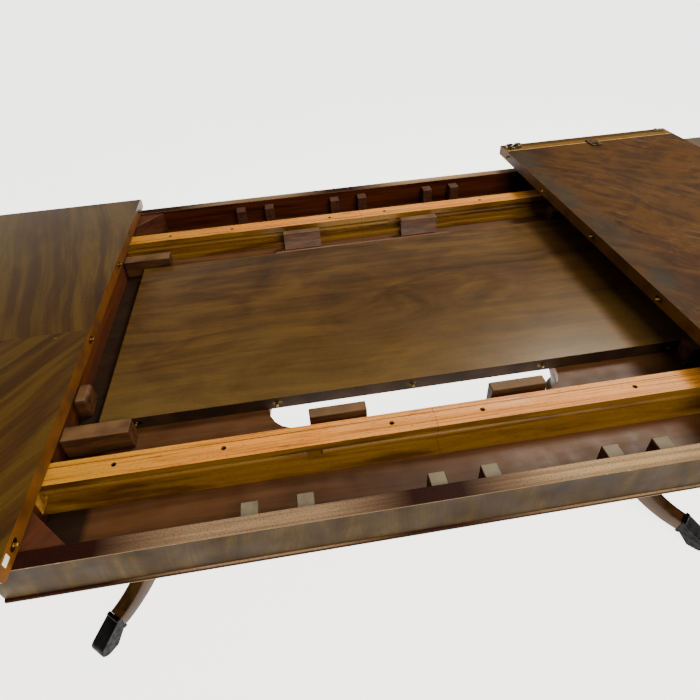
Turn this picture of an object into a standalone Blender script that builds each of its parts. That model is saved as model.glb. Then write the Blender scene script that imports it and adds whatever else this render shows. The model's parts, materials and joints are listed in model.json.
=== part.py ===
"""Extending dining table: two half-tops that draw apart over a fixed case, with one leaf stored inside.

The case stands on two turned pedestals with three sabre legs each. Units are metres, +Z is up, and the
origin is on the floor under the middle of the case. X runs along the table, the way the tops slide.
"""

import math

import bmesh
import bpy
from mathutils import Vector

# ---- driving dimensions -------------------------------------------------------------------------

TABLE_HEIGHT = 0.762
TABLE_WIDTH = 1.118
BOARD_THICKNESS = 0.026
HALF_TOP_LENGTH = 0.880
HALF_OPENING = 0.600
CORNER_RADIUS = 0.110
LEAF_WIDTH = 0.518

CASE_HALF_LENGTH = 0.640
CASE_HALF_WIDTH = 0.5365
APRON_THICKNESS = 0.0255
APRON_TOP = 0.735
APRON_BOTTOM = 0.660
COCK_BEAD_RADIUS = 0.004
PANEL_TOP = 0.6745
PANEL_THICKNESS = 0.014

HAND_SLOT_HALF_LENGTH = 0.270
HAND_SLOT_RADIUS = 0.050
HAND_SLOT_OFFSET = 0.262

RAIL_OFFSET = 0.376
RAIL_HALF_LENGTH = 0.845
RAIL_TOP = 0.7235
RAIL_FLANGE_HALF_WIDTH = 0.0215
RAIL_FLANGE_BOTTOM = 0.7105
RAIL_WEB_HALF_WIDTH = 0.0135
RAIL_BASE_HALF_WIDTH = 0.0375
RAIL_BASE_TOP = 0.6845
GUIDE_BEAD_RADIUS = 0.0055
GUIDE_BEAD_REACH = 0.006
GUIDE_BEAD_HEIGHT = 0.6985
BEAD_BREAK_LENGTH = 0.025
SCREW_HOLE_RADIUS = 0.0025
SCREW_HOLE_DEPTH = 0.010

RUNNER_LENGTH = 0.765
RUNNER_END_SETBACK = 0.015
RUNNER_THICKNESS = 0.0227
SLIDE_CLEARANCE = 0.0008

PEDESTAL_OFFSET = 0.500
PEDESTAL_BLOCK = (0.200, 0.600, 0.032)
LEG_SPREAD = math.radians(50.0)
LEG_WIDTH = 0.038
LEG_ROOT_RADIUS = 0.046
COLUMN_SEGMENTS = 28

STORED_LEAF_SHIFT = -0.006
SPARE_LEAF_INNER_EDGE = 0.468
SPARE_LEAF_SHIFT = 0.028

SCREW_PLACES = (-0.507, -0.338, -0.069, 0.082, 0.345, 0.507)
BEAD_BREAK_OUTER = -0.1975
BEAD_BREAK_INNER = -0.088
SPACER_PAIR_CENTRES = (-0.258, 0.015, 0.283)
SPACER_HALF_PITCH = 0.040
GUIDE_CENTRES = (-0.151, 0.163)

CORNER_BLOCK_TOP = 0.730
SPACER_TOP = 0.722
GUIDE_TOP = 0.720
LOCATOR_TOP = 0.716

CONTACT_GAP = 0.0003

# ---- materials ----------------------------------------------------------------------------------

MATERIALS = {
    "polished_mahogany": ((0.16, 0.065, 0.022), 0.28, 0.0),
    "plain_mahogany": ((0.13, 0.055, 0.024), 0.55, 0.0),
    "oak": ((0.56, 0.30, 0.12), 0.50, 0.0),
    "black_metal": ((0.02, 0.02, 0.02), 0.35, 1.0),
}


def make_material(name: str) -> bpy.types.Material:
    """Return the Principled material of that name, made on first use."""
    found = bpy.data.materials.get(name)
    if found:
        return found
    color, roughness, metallic = MATERIALS[name]
    material = bpy.data.materials.new(name)
    material.use_nodes = True
    shader = material.node_tree.nodes["Principled BSDF"]
    shader.inputs["Base Color"].default_value = (*color, 1.0)
    shader.inputs["Roughness"].default_value = roughness
    shader.inputs["Metallic"].default_value = metallic
    return material


# ---- modelling helpers --------------------------------------------------------------------------


def clear_scene() -> None:
    """Remove every object of the scene."""
    for item in list(bpy.data.objects):
        bpy.data.objects.remove(item, do_unlink=True)


def place(name: str, mesh_maker: bmesh.types.BMesh, material: str, at=(0, 0, 0), turn=0.0, crease=35.0):
    """Turn a bmesh into a named object at a location, turned about Z, with sharp edges over crease degrees."""
    bmesh.ops.recalc_face_normals(mesh_maker, faces=mesh_maker.faces)
    mesh = bpy.data.meshes.new(name)
    mesh_maker.to_mesh(mesh)
    mesh_maker.free()
    mesh.materials.append(make_material(material))
    mesh.shade_smooth()
    mesh.set_sharp_from_angle(angle=math.radians(crease))
    item = bpy.data.objects.new(name, mesh)
    item.location = at
    item.rotation_euler = (0, 0, turn)
    bpy.context.scene.collection.objects.link(item)
    return item


def stacked(loops, closed_ends=True) -> bmesh.types.BMesh:
    """Skin a stack of loops that all have the same number of points, and cap both ends."""
    shape = bmesh.new()
    rings = [[shape.verts.new(point) for point in loop] for loop in loops]
    count = len(rings[0])
    for lower, upper in zip(rings, rings[1:]):
        for i in range(count):
            j = (i + 1) % count
            shape.faces.new((lower[i], lower[j], upper[j], upper[i]))
    if closed_ends:
        shape.faces.new(list(reversed(rings[0])))
        shape.faces.new(rings[-1])
    return shape


def along_x(outline, low, high) -> bmesh.types.BMesh:
    """A prism whose (y, z) outline runs along X."""
    return stacked([[(x, y, z) for y, z in outline] for x in (low, high)])


def along_z(outline, low, high) -> bmesh.types.BMesh:
    """A prism whose (x, y) outline stands along Z."""
    return stacked([[(x, y, z) for x, y in outline] for z in (low, high)])


def arc(cx, cy, radius, start, end, steps):
    """Points on a circular arc, angles in degrees."""
    angles = [math.radians(start + (end - start) * i / steps) for i in range(steps + 1)]
    return [(cx + radius * math.cos(a), cy + radius * math.sin(a)) for a in angles]


def stadium(half_length, radius, steps=10):
    """A slot outline along X with round ends, centred on the origin."""
    straight = half_length - radius
    return arc(straight, 0, radius, -90, 90, steps) + arc(-straight, 0, radius, 90, 270, steps)


def block(name, size, low_centre, material="plain_mahogany", turn=0.0, bevel=0.0012):
    """A softened rectangular block; low_centre is the middle of its underside."""
    a, b = size[0] / 2, size[1] / 2
    item = place(name, along_z([(-a, -b), (a, -b), (a, b), (-a, b)], 0, size[2]), material, low_centre, turn)
    if bevel:
        soften(item, bevel)
    return item


def soften(item, width: float) -> None:
    """Bevel an object's sharp edges by width."""
    modifier = item.modifiers.new("softened_edges", "BEVEL")
    modifier.width = width
    modifier.segments = 1
    modifier.limit_method = "ANGLE"


def cut(item, cutter) -> None:
    """Cut one object with another and keep the cutter as a wire guide."""
    modifier = item.modifiers.new("cut_" + cutter.name, "BOOLEAN")
    modifier.operation = "DIFFERENCE"
    modifier.solver = "EXACT"
    modifier.object = cutter
    cutter.hide_render = True
    cutter.display_type = "WIRE"


def group(name: str, at, members) -> None:
    """Parent objects to an empty on their joint's axis, keeping each one where it is."""
    empty = bpy.data.objects.new(name, None)
    empty.location = at
    bpy.context.scene.collection.objects.link(empty)
    for member in members:
        member.parent = empty
        member.location = Vector(member.location) - Vector(at)


# ---- boards: half-tops and leaves ---------------------------------------------------------------


def nose_sections():
    """Inset and height, from the underside up, of a full round nose on a board's edge."""
    radius = BOARD_THICKNESS / 2
    steps = 8
    angles = [math.radians(-90 + 180 * i / steps) for i in range(steps + 1)]
    return [(radius * (1 - math.cos(a)), radius * (1 + math.sin(a))) for a in angles]


def half_top_outline(side: int, inset: float):
    """Outline of a half-top from its square inner edge, with the other three edges moved in by inset."""
    half = TABLE_WIDTH / 2 - inset
    outer = HALF_TOP_LENGTH - inset
    radius = CORNER_RADIUS - inset
    points = [(0.0, -half)]
    points += arc(outer - radius, -half + radius, radius, -90, 0, 8)
    points += arc(outer - radius, half - radius, radius, 0, 90, 8)
    points.append((0.0, half))
    return [(side * x, y) for x, y in points]


def make_half_top(name: str, side: int):
    """A half-top, drawn out so that its inner edge stands HALF_OPENING from the middle."""
    loops = []
    for inset, height in nose_sections():
        loops.append([(x, y, height) for x, y in half_top_outline(side, inset)])
    at = (side * HALF_OPENING, 0, TABLE_HEIGHT - BOARD_THICKNESS)
    return place(name, stacked(loops), "polished_mahogany", at)


def make_leaf(name: str, low_centre, turn: float):
    """A loose leaf: nosed at both ends, square along both joining edges, its length along local X."""
    loops = []
    for inset, height in nose_sections():
        a, b = TABLE_WIDTH / 2 - inset, LEAF_WIDTH / 2
        loops.append([(-a, -b, height), (a, -b, height), (a, b, height), (-a, b, height)])
    return place(name, stacked(loops), "polished_mahogany", low_centre, turn)


# ---- case ---------------------------------------------------------------------------------------


def make_apron(name: str, side: int):
    """A long apron with a cock bead along the foot of its outer face."""
    inner = CASE_HALF_WIDTH - APRON_THICKNESS
    bead = arc(CASE_HALF_WIDTH, APRON_BOTTOM + COCK_BEAD_RADIUS, COCK_BEAD_RADIUS, -90, 90, 6)
    outline = [(inner, APRON_BOTTOM), *bead, (CASE_HALF_WIDTH, APRON_TOP), (inner, APRON_TOP)]
    outline = [(side * y, z) for y, z in outline]
    return place(name, along_x(outline, -CASE_HALF_LENGTH, CASE_HALF_LENGTH), "polished_mahogany")


def make_end_rail(name: str, side: int):
    """An end rail between the aprons, notched from above where the slide rails and runners pass."""
    half = CASE_HALF_WIDTH - APRON_THICKNESS - CONTACT_GAP
    notch_in = RAIL_OFFSET - RAIL_BASE_HALF_WIDTH - 0.0005
    notch_out = RAIL_OFFSET + RAIL_FLANGE_HALF_WIDTH + SLIDE_CLEARANCE + RUNNER_THICKNESS + 0.0005
    sill = PANEL_TOP
    outline = [(-half, APRON_BOTTOM), (half, APRON_BOTTOM), (half, APRON_TOP)]
    outline += [(notch_out, APRON_TOP), (notch_out, sill), (notch_in, sill), (notch_in, APRON_TOP)]
    outline += [(-notch_in, APRON_TOP), (-notch_in, sill), (-notch_out, sill), (-notch_out, APRON_TOP)]
    outline += [(-half, APRON_TOP)]
    inner = CASE_HALF_LENGTH - APRON_THICKNESS
    low, high = sorted((side * inner, side * CASE_HALF_LENGTH))
    return place(name, along_x(outline, low, high), "plain_mahogany")


def make_bottom_panel():
    """The panel that carries the stored leaf, with a hand slot along each of the leaf's edges."""
    half_length = CASE_HALF_LENGTH - APRON_THICKNESS - CONTACT_GAP
    half_width = CASE_HALF_WIDTH - APRON_THICKNESS - CONTACT_GAP
    size = (2 * half_length, 2 * half_width, PANEL_THICKNESS)
    panel = block("bottom_panel", size, (0, 0, PANEL_TOP - PANEL_THICKNESS), bevel=0)
    for label, side in (("near", -1), ("far", 1)):
        outline = stadium(HAND_SLOT_HALF_LENGTH, HAND_SLOT_RADIUS)
        cutter = place(f"hand_slot_cutter_{label}", along_z(outline, -0.02, 0.02), "plain_mahogany",
                       (0, side * HAND_SLOT_OFFSET, PANEL_TOP - PANEL_THICKNESS / 2))
        cut(panel, cutter)
    return panel


def rail_outline(side: int):
    """Section of a slide rail: top flange with one joint groove, web with a guide bead each side, base."""
    base_bottom = PANEL_TOP + CONTACT_GAP
    joint, joint_half, joint_depth = 0.011, 0.0007, 0.0012
    reach = RAIL_WEB_HALF_WIDTH + GUIDE_BEAD_REACH - GUIDE_BEAD_RADIUS
    bead = arc(reach, GUIDE_BEAD_HEIGHT, GUIDE_BEAD_RADIUS, -90, 90, 6)
    bead = [(RAIL_WEB_HALF_WIDTH, GUIDE_BEAD_HEIGHT - GUIDE_BEAD_RADIUS), *bead,
            (RAIL_WEB_HALF_WIDTH, GUIDE_BEAD_HEIGHT + GUIDE_BEAD_RADIUS)]
    half = [(RAIL_BASE_HALF_WIDTH, base_bottom), (RAIL_BASE_HALF_WIDTH, RAIL_BASE_TOP)]
    half += [(RAIL_WEB_HALF_WIDTH, RAIL_BASE_TOP), *bead, (RAIL_WEB_HALF_WIDTH, RAIL_FLANGE_BOTTOM)]
    half += [(RAIL_FLANGE_HALF_WIDTH, RAIL_FLANGE_BOTTOM), (RAIL_FLANGE_HALF_WIDTH, RAIL_TOP)]
    groove = [(joint + joint_half, RAIL_TOP), (joint, RAIL_TOP - joint_depth), (joint - joint_half, RAIL_TOP)]
    outline = half + groove + [(-y, z) for y, z in reversed(half)]
    return [(side * y, z) for y, z in outline]


def make_slide_rail(name: str, side: int):
    """A fixed oak slide rail; turning one end for end gives the other."""
    rail = place(name, along_x(rail_outline(1), -RAIL_HALF_LENGTH, RAIL_HALF_LENGTH), "oak",
                 (0, side * RAIL_OFFSET, 0), 0.0 if side < 0 else math.pi)
    turned = -side
    for number, x in enumerate(SCREW_PLACES):
        hole = place(f"{name}_screw_hole_{number}",
                     along_z(arc(0, 0, SCREW_HOLE_RADIUS, 0, 330, 11), -SCREW_HOLE_DEPTH, 0.002), "oak",
                     (turned * x, side * RAIL_OFFSET, RAIL_TOP))
        cut(rail, hole)
    for number, (x, face) in enumerate(((BEAD_BREAK_OUTER, -1), (BEAD_BREAK_INNER, 1))):
        size = (BEAD_BREAK_LENGTH, 0.010, 0.021)
        reach = RAIL_WEB_HALF_WIDTH + 0.0002 + size[1] / 2
        gap = block(f"{name}_bead_break_{number}", size,
                    (turned * x, side * RAIL_OFFSET + turned * face * reach, 0.688), bevel=0)
        cut(rail, gap)
    return rail


def make_corner_block(name: str, side_x: int, side_y: int):
    """A triangular glue block in a corner of the case."""
    leg = 0.075
    x = side_x * (CASE_HALF_LENGTH - APRON_THICKNESS - CONTACT_GAP)
    y = side_y * (CASE_HALF_WIDTH - APRON_THICKNESS - CONTACT_GAP)
    outline = [(0, 0), (-side_x * leg, 0), (0, -side_y * leg)]
    height = CORNER_BLOCK_TOP - PANEL_TOP - CONTACT_GAP
    item = place(name, along_z(outline, 0, height), "plain_mahogany", (x, y, PANEL_TOP + CONTACT_GAP))
    soften(item, 0.0012)
    return item


def make_case():
    """The aprons, end rails, bottom panel, slide rails and all the blocks fixed inside them."""
    floor = PANEL_TOP + CONTACT_GAP
    for label, side in (("near", -1), ("far", 1)):
        make_apron(f"apron_{label}", side)
        make_slide_rail(f"slide_rail_{label}", side)
    for label, side in (("left", -1), ("right", 1)):
        make_end_rail(f"end_rail_{label}", side)
    make_bottom_panel()
    for label_x, side_x in (("left", -1), ("right", 1)):
        for label_y, side_y in (("near", -1), ("far", 1)):
            make_corner_block(f"corner_block_{label_x}_{label_y}", side_x, side_y)
            locator = (0.112, 0.033, LOCATOR_TOP - floor)
            block(f"leaf_locator_{label_x}_{label_y}", locator, (side_x * 0.556, side_y * 0.2885, floor))
    spacer = (0.026, 0.031, SPACER_TOP - floor)
    for label, side in (("near", -1), ("far", 1)):
        y = side * (CASE_HALF_WIDTH - APRON_THICKNESS - CONTACT_GAP - spacer[1] / 2)
        number = 0
        for pair_centre in SPACER_PAIR_CENTRES:
            for half_pitch in (-SPACER_HALF_PITCH, SPACER_HALF_PITCH):
                number += 1
                x = -side * pair_centre + half_pitch
                block(f"spacer_block_{label}_{number}", spacer, (x, y, floor))
    guide = (0.097, 0.0215, GUIDE_TOP - floor)
    for label, side in (("near", -1), ("far", 1)):
        for number, x in enumerate(GUIDE_CENTRES, start=1):
            block(f"leaf_guide_{label}_{number}", guide, (-side * x, side * 0.3250, floor))
    stop = (0.024, 0.050, LOCATOR_TOP - floor)
    for label, side in (("left", -1), ("right", 1)):
        x = side * (CASE_HALF_LENGTH - APRON_THICKNESS - CONTACT_GAP - stop[0] / 2)
        block(f"end_stop_{label}", stop, (x, side * 0.190, floor), bevel=0.004)


# ---- runners ------------------------------------------------------------------------------------


def runner_outline(side: int):
    """Section of a runner: it rests over the rail's base and its two lips hold the guide bead."""
    near = RAIL_FLANGE_HALF_WIDTH + SLIDE_CLEARANCE
    far = near + RUNNER_THICKNESS
    lip = RAIL_WEB_HALF_WIDTH + 0.0015
    bottom = RAIL_BASE_TOP + SLIDE_CLEARANCE
    top = TABLE_HEIGHT - BOARD_THICKNESS - CONTACT_GAP
    slot = GUIDE_BEAD_RADIUS + 0.0010
    lip_low, lip_high = bottom + 0.002, RAIL_FLANGE_BOTTOM - 0.001
    outline = [(near, bottom), (near, lip_low), (lip, lip_low), (lip, GUIDE_BEAD_HEIGHT - slot)]
    outline += [(near, GUIDE_BEAD_HEIGHT - slot), (near, GUIDE_BEAD_HEIGHT + slot)]
    outline += [(lip, GUIDE_BEAD_HEIGHT + slot), (lip, lip_high), (near, lip_high)]
    outline += [(near, top), (far, top), (far, bottom)]
    return [(side * (RAIL_OFFSET + y), z) for y, z in outline]


def make_runner(name: str, side_x: int, side_y: int):
    """An oak runner under a half-top, on the outer side of one slide rail."""
    start = side_x * (HALF_OPENING + RUNNER_END_SETBACK)
    low, high = sorted((start, start + side_x * RUNNER_LENGTH))
    return place(name, along_x(runner_outline(side_y), low, high), "oak")


# ---- pedestals ----------------------------------------------------------------------------------


def eased(r0, z0, r1, z1, steps):
    """An S-shaped run of a turned profile from (r0, z0) to just before (r1, z1)."""
    points = []
    for i in range(steps):
        t = i / steps
        points.append((r0 + (r1 - r0) * (1 - math.cos(math.pi * t)) / 2, z0 + (z1 - z0) * t))
    return points


def ring(radius, z0, z1, stand, steps=4):
    """A half-round ring standing out of a turned profile."""
    return [(radius + stand * math.sin(math.pi * i / steps), z0 + (z1 - z0) * i / steps)
            for i in range(steps + 1)]


def column_profile():
    """The column's turned outline from its drop finial up to the block under the case."""
    top = APRON_BOTTOM - PEDESTAL_BLOCK[2] - 2 * CONTACT_GAP
    profile = [(0.006, 0.168)]
    profile += ring(0.010, 0.170, 0.196, 0.014, 5)
    profile += [(0.014, 0.202), (0.048, 0.208), (0.054, 0.216), (0.054, 0.312)]
    profile += ring(0.050, 0.316, 0.330, 0.008)
    profile += eased(0.046, 0.334, 0.064, 0.410, 5)
    profile += eased(0.064, 0.410, 0.036, 0.540, 6)
    profile += ring(0.036, 0.546, 0.560, 0.009)
    profile += eased(0.040, 0.564, 0.066, 0.606, 5)
    profile += [(0.066, 0.606), (0.070, 0.610), (0.070, top)]
    return profile


def make_column(name: str, at):
    """A turned column, square to the floor."""
    loops = []
    for radius, z in column_profile():
        angles = [2 * math.pi * i / COLUMN_SEGMENTS for i in range(COLUMN_SEGMENTS)]
        loops.append([(radius * math.cos(a), radius * math.sin(a), z) for a in angles])
    return place(name, stacked(loops), "polished_mahogany", at)


LEG_PATH = ((LEG_ROOT_RADIUS, 0.262), (0.150, 0.262), (0.215, 0.070), (0.375, 0.052))
LEG_DEPTHS = (0.080, 0.036)


def bezier(points, t):
    """A point and unit tangent of a cubic curve in the plane of a leg."""
    p0, p1, p2, p3 = (Vector(p) for p in points)
    s = 1 - t
    place_on = s**3 * p0 + 3 * s * s * t * p1 + 3 * s * t * t * p2 + t**3 * p3
    tangent = 3 * s * s * (p1 - p0) + 6 * s * t * (p2 - p1) + 3 * t * t * (p3 - p2)
    return place_on, tangent.normalized()


def leg_section(t: float):
    """Chamfered section of a leg at t along its path, in its own plane: X outward, Y across, Z up."""
    centre, tangent = bezier(LEG_PATH, t)
    normal = Vector((-tangent.y, tangent.x))
    depth = LEG_DEPTHS[0] + (LEG_DEPTHS[1] - LEG_DEPTHS[0]) * t
    a, b, chamfer = LEG_WIDTH / 2, depth / 2, 0.003
    corners = [(-a, -b + chamfer), (-a + chamfer, -b), (a - chamfer, -b), (a, -b + chamfer)]
    corners += [(-y, -z) for y, z in corners]
    section = []
    for across, up in corners:
        point = centre + normal * up
        section.append((point.x, across, point.y))
    return section


def make_leg(name: str, at, angle: float):
    """A sabre leg that sweeps down and out from the column."""
    steps = 14
    return place(name, stacked([leg_section(i / steps) for i in range(steps + 1)]),
                 "polished_mahogany", at, angle)


def make_cap(name: str, at, angle: float):
    """A cast cap on a leg's toe: a collar, then a foot with a flat sole."""
    end, tangent = bezier(LEG_PATH, 1.0)
    normal = Vector((-tangent.y, tangent.x))
    start, step = end + tangent * CONTACT_GAP, end + tangent * 0.010
    collar, body, half_width = 0.023, 0.0195, LEG_WIDTH / 2 + 0.001
    toe = arc(0.434, 0.020, 0.020, 60, -90, 8)
    outline = [start + normal * collar, step + normal * collar, step + normal * body]
    outline += [Vector(p) for p in toe]
    outline += [Vector((0.412, 0.0)), step - normal * body, step - normal * collar, start - normal * collar]
    loops = [[(p.x, across, p.y) for p in outline] for across in (-half_width, half_width)]
    item = place(name, stacked(loops), "black_metal", at, angle)
    soften(item, 0.0015)
    return item


def make_pedestal(label: str, side: int):
    """One pedestal: block, turned column, three sabre legs with caps."""
    at = (side * PEDESTAL_OFFSET, 0, 0)
    block_at = (at[0], 0, APRON_BOTTOM - PEDESTAL_BLOCK[2] - CONTACT_GAP)
    block(f"pedestal_block_{label}", PEDESTAL_BLOCK, block_at, bevel=0.004)
    column = make_column(f"column_{label}", at)
    outward = 0.0 if side > 0 else math.pi
    headings = {"near": outward - side * LEG_SPREAD, "far": outward + side * LEG_SPREAD,
                "inner": outward + math.pi}
    for direction, angle in headings.items():
        make_leg(f"leg_{label}_{direction}", at, angle)
        make_cap(f"leg_cap_{label}_{direction}", at, angle)
        socket_size = (0.060, LEG_WIDTH + 2 * CONTACT_GAP, LEG_DEPTHS[0] + 0.006)
        inner = LEG_ROOT_RADIUS - CONTACT_GAP + socket_size[0] / 2
        socket_at = (at[0] + inner * math.cos(angle), inner * math.sin(angle),
                     LEG_PATH[0][1] - socket_size[2] / 2 - 0.0015)
        socket = block(f"leg_socket_{label}_{direction}", socket_size, socket_at, turn=angle, bevel=0)
        cut(column, socket)


# ---- fittings of the spare leaf -----------------------------------------------------------------


def make_leaf_lock(at):
    """A swivelling lock plate with two eyes, pivoted at its inner eye."""
    pitch, radius, eye, thickness = 0.024, 0.012, 0.0065, 0.004
    outline = [(x - pitch / 2, y) for x, y in stadium(pitch / 2 + radius, radius)]
    lock = place("leaf_lock", along_z(outline, 0, thickness), "black_metal", at)
    for number, x in enumerate((0.0, -pitch)):
        hole = place(f"leaf_lock_eye_{number}", along_z(arc(0, 0, eye, 0, 330, 11), -0.002, 0.006),
                     "black_metal", (at[0] + x, at[1], at[2]))
        cut(lock, hole)
    return lock


def make_leaf_latch(at):
    """A fixed keeper plate with a slot for the next leaf's lock."""
    latch = block("leaf_latch", (0.030, 0.048, 0.003), at, "black_metal", bevel=0.0006)
    slot = place("leaf_latch_slot", along_z(stadium(0.009, 0.004, 6), -0.002, 0.005), "black_metal",
                 (at[0], at[1] - 0.008, at[2]))
    cut(latch, slot)
    return latch


# ---- assembly -----------------------------------------------------------------------------------


def make_tops():
    """Both half-tops with their runners, each grouped on its slide."""
    for label, side in (("left", -1), ("right", 1)):
        members = [make_half_top(f"half_top_{label}", side)]
        for label_y, side_y in (("near", -1), ("far", 1)):
            members.append(make_runner(f"runner_{label}_{label_y}", side, side_y))
        group(f"slide_{label}", (side * HALF_OPENING, 0, TABLE_HEIGHT - BOARD_THICKNESS), members)


def make_leaves():
    """The leaf stored in the case, and the spare leaf lying face down on the right half-top."""
    stored_at = (STORED_LEAF_SHIFT, 0, PANEL_TOP + CONTACT_GAP)
    stored = make_leaf("stored_leaf", stored_at, 0.0)
    group("stored_leaf_lift", stored_at, [stored])
    centre_x = SPARE_LEAF_INNER_EDGE + LEAF_WIDTH / 2
    low = TABLE_HEIGHT + 2 * CONTACT_GAP
    spare = make_leaf("spare_leaf", (centre_x, SPARE_LEAF_SHIFT, low), math.pi / 2)
    surface = low + BOARD_THICKNESS + CONTACT_GAP
    far_end = SPARE_LEAF_SHIFT + TABLE_WIDTH / 2
    latch = make_leaf_latch((SPARE_LEAF_INNER_EDGE + 0.262, far_end - 0.062, surface))
    group("spare_leaf_lift", (centre_x, SPARE_LEAF_SHIFT, low), [spare, latch])
    pivot = (SPARE_LEAF_INNER_EDGE + 0.042, far_end - 0.028, surface)
    group("leaf_lock_pivot", pivot, [make_leaf_lock(pivot)])


def main() -> None:
    """Build the whole table."""
    clear_scene()
    make_case()
    make_pedestal("left", -1)
    make_pedestal("right", 1)
    make_tops()
    make_leaves()


main()
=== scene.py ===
"""Looks of an extending dining table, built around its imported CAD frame.

Each sub-assembly of the table is a class that builds its meshes and dresses them. Sizes are metres in the
frame of the CAD model: +X along the table, +Y away from the viewer's side, +Z up, origin on the floor.
"""

import json
import logging
import math
from dataclasses import dataclass, field, replace
from enum import Enum
from typing import Sequence

import bmesh
import bpy
from mathutils import Matrix, Vector

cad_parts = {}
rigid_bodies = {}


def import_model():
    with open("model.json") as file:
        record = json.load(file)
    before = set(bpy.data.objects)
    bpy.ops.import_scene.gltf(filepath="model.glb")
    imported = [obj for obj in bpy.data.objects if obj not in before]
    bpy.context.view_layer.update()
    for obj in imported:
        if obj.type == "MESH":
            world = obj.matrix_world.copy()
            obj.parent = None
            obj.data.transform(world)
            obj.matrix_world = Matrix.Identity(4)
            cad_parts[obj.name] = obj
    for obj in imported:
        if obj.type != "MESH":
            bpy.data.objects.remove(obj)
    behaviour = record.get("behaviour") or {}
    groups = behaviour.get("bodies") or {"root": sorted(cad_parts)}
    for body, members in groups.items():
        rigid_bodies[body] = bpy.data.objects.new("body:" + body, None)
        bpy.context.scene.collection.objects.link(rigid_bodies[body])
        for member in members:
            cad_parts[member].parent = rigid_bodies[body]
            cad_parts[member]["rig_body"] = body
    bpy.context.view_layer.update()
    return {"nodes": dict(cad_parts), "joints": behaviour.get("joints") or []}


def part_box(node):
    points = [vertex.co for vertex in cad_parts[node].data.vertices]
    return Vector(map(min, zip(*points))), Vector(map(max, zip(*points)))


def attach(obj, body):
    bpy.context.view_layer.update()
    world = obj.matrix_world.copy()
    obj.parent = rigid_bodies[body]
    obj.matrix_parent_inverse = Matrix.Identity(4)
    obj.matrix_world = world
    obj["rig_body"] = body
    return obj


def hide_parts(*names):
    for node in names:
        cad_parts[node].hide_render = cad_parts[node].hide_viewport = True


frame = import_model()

MM = 0.001

log = logging.getLogger("dining_table")

Point = tuple[float, float, float]
Flat = tuple[float, float]
Socket = bpy.types.NodeSocket
Tree = bpy.types.NodeTree

# The Mix node's sockets share their names among its data types, so these go by number.
VECTOR_A, VECTOR_B, VECTOR_MIXED = 4, 5, 1
COLOUR_A, COLOUR_B, COLOUR_MIXED = 6, 7, 2


# ---- colour and nodes ---------------------------------------------------------------------------


def linear(colour: str) -> tuple[float, float, float, float]:
    """Turn an sRGB hex colour into linear RGBA.

    Args:
        colour: six hex digits with a leading hash.

    Returns:
        The linear red, green, blue and an alpha of one.
    """
    levels = [int(colour[i:i + 2], 16) / 255 for i in (1, 3, 5)]
    red, green, blue = (v / 12.92 if v <= 0.04045 else ((v + 0.055) / 1.055) ** 2.4 for v in levels)
    return (red, green, blue, 1.0)


def fill_inputs(tree: Tree, node: bpy.types.Node, inputs: dict[str | int, object]) -> None:
    """Link or set a node's inputs.

    Args:
        tree: the node's tree.
        node: the node.
        inputs: input name or number to a socket to link there, or to a number, vector or hex colour.
    """
    for key, value in inputs.items():
        if isinstance(value, Socket):
            tree.links.new(value, node.inputs[key])
        else:
            node.inputs[key].default_value = linear(value) if isinstance(value, str) else value


def add_node(tree: Tree, kind: str, *values: object, links: dict[str | int, object] | None = None,
             output: str | int = 0, **settings: object) -> Socket:
    """Add a shader node with its settings and links.

    Args:
        tree: the material's or world's node tree.
        kind: the node type without its ShaderNode prefix.
        *values: what goes into its first inputs, in order, each a socket, number, vector or hex colour.
        links: the same for its other inputs, by name or number.
        output: name or number of the output that is wanted.
        **settings: attributes of the node. A colour ramp's stops are positions and hex colours, in order.

    Returns:
        The wanted output's socket.
    """
    node = tree.nodes.new("ShaderNode" + kind)
    for index, (position, colour) in enumerate(settings.pop("stops", ())):
        elements = node.color_ramp.elements
        element = elements[index] if index < len(elements) else elements.new(position)
        element.position, element.color = position, linear(colour)
    for name, setting in settings.items():
        setattr(node, name, setting)
    fill_inputs(tree, node, {**dict(enumerate(values)), **(links or {})})
    return node.outputs[output]


def layered(tree: Tree, base: object, *coats: tuple[object, object]) -> Socket:
    """Lay coats of colour over one another, each through its own mask.

    Args:
        tree: the node tree to build in.
        base: colour of the surface under the coats, a socket or a hex colour.
        *coats: each coat's colour and how much of it shows, from the lowest up.

    Returns:
        The finished colour's socket.
    """
    for colour, amount in coats:
        base = add_node(tree, "Mix", amount, links={COLOUR_A: base, COLOUR_B: colour}, output=COLOUR_MIXED,
                        data_type="RGBA")
    return base


# ---- places and masks ---------------------------------------------------------------------------


class Axis(Enum):
    """An axis of the table's frame."""

    X = "X"
    Y = "Y"
    Z = "Z"


class Reading(Enum):
    """What is read at each point: its place in metres, the way it faces, or its direction in the surround."""

    PLACE = "Object"
    FACING = "Normal"
    DIRECTION = "Generated"


class Grain(Enum):
    """Which way a board's fibres run in plan, as degrees from +X, or up the piece."""

    LENGTHWISE = 0.0
    CROSSWISE = 90.0
    RISING = 56.0
    LEANING = 104.0
    WIPED = -46.0
    UPRIGHT = -1.0


def coordinate(tree: Tree, reading: Reading, axis: Axis) -> Socket:
    """One axis of what is read at each point."""
    return add_node(tree, "SeparateXYZ", add_node(tree, "TexCoord", output=reading.value), output=axis.value)


def turned_places(tree: Tree, grain: Grain) -> Socket:
    """Piece coordinates in metres, turned so that X runs along the fibres.

    Args:
        tree: the node tree to build in.
        grain: which way the fibres run.

    Returns:
        The vector socket.
    """
    upright = (0.0, math.radians(90), 0.0)
    turn = upright if grain is Grain.UPRIGHT else (0.0, 0.0, -math.radians(grain.value))
    places = add_node(tree, "TexCoord", output=Reading.PLACE.value)
    return add_node(tree, "Mapping", places, links={"Rotation": turn})


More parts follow.
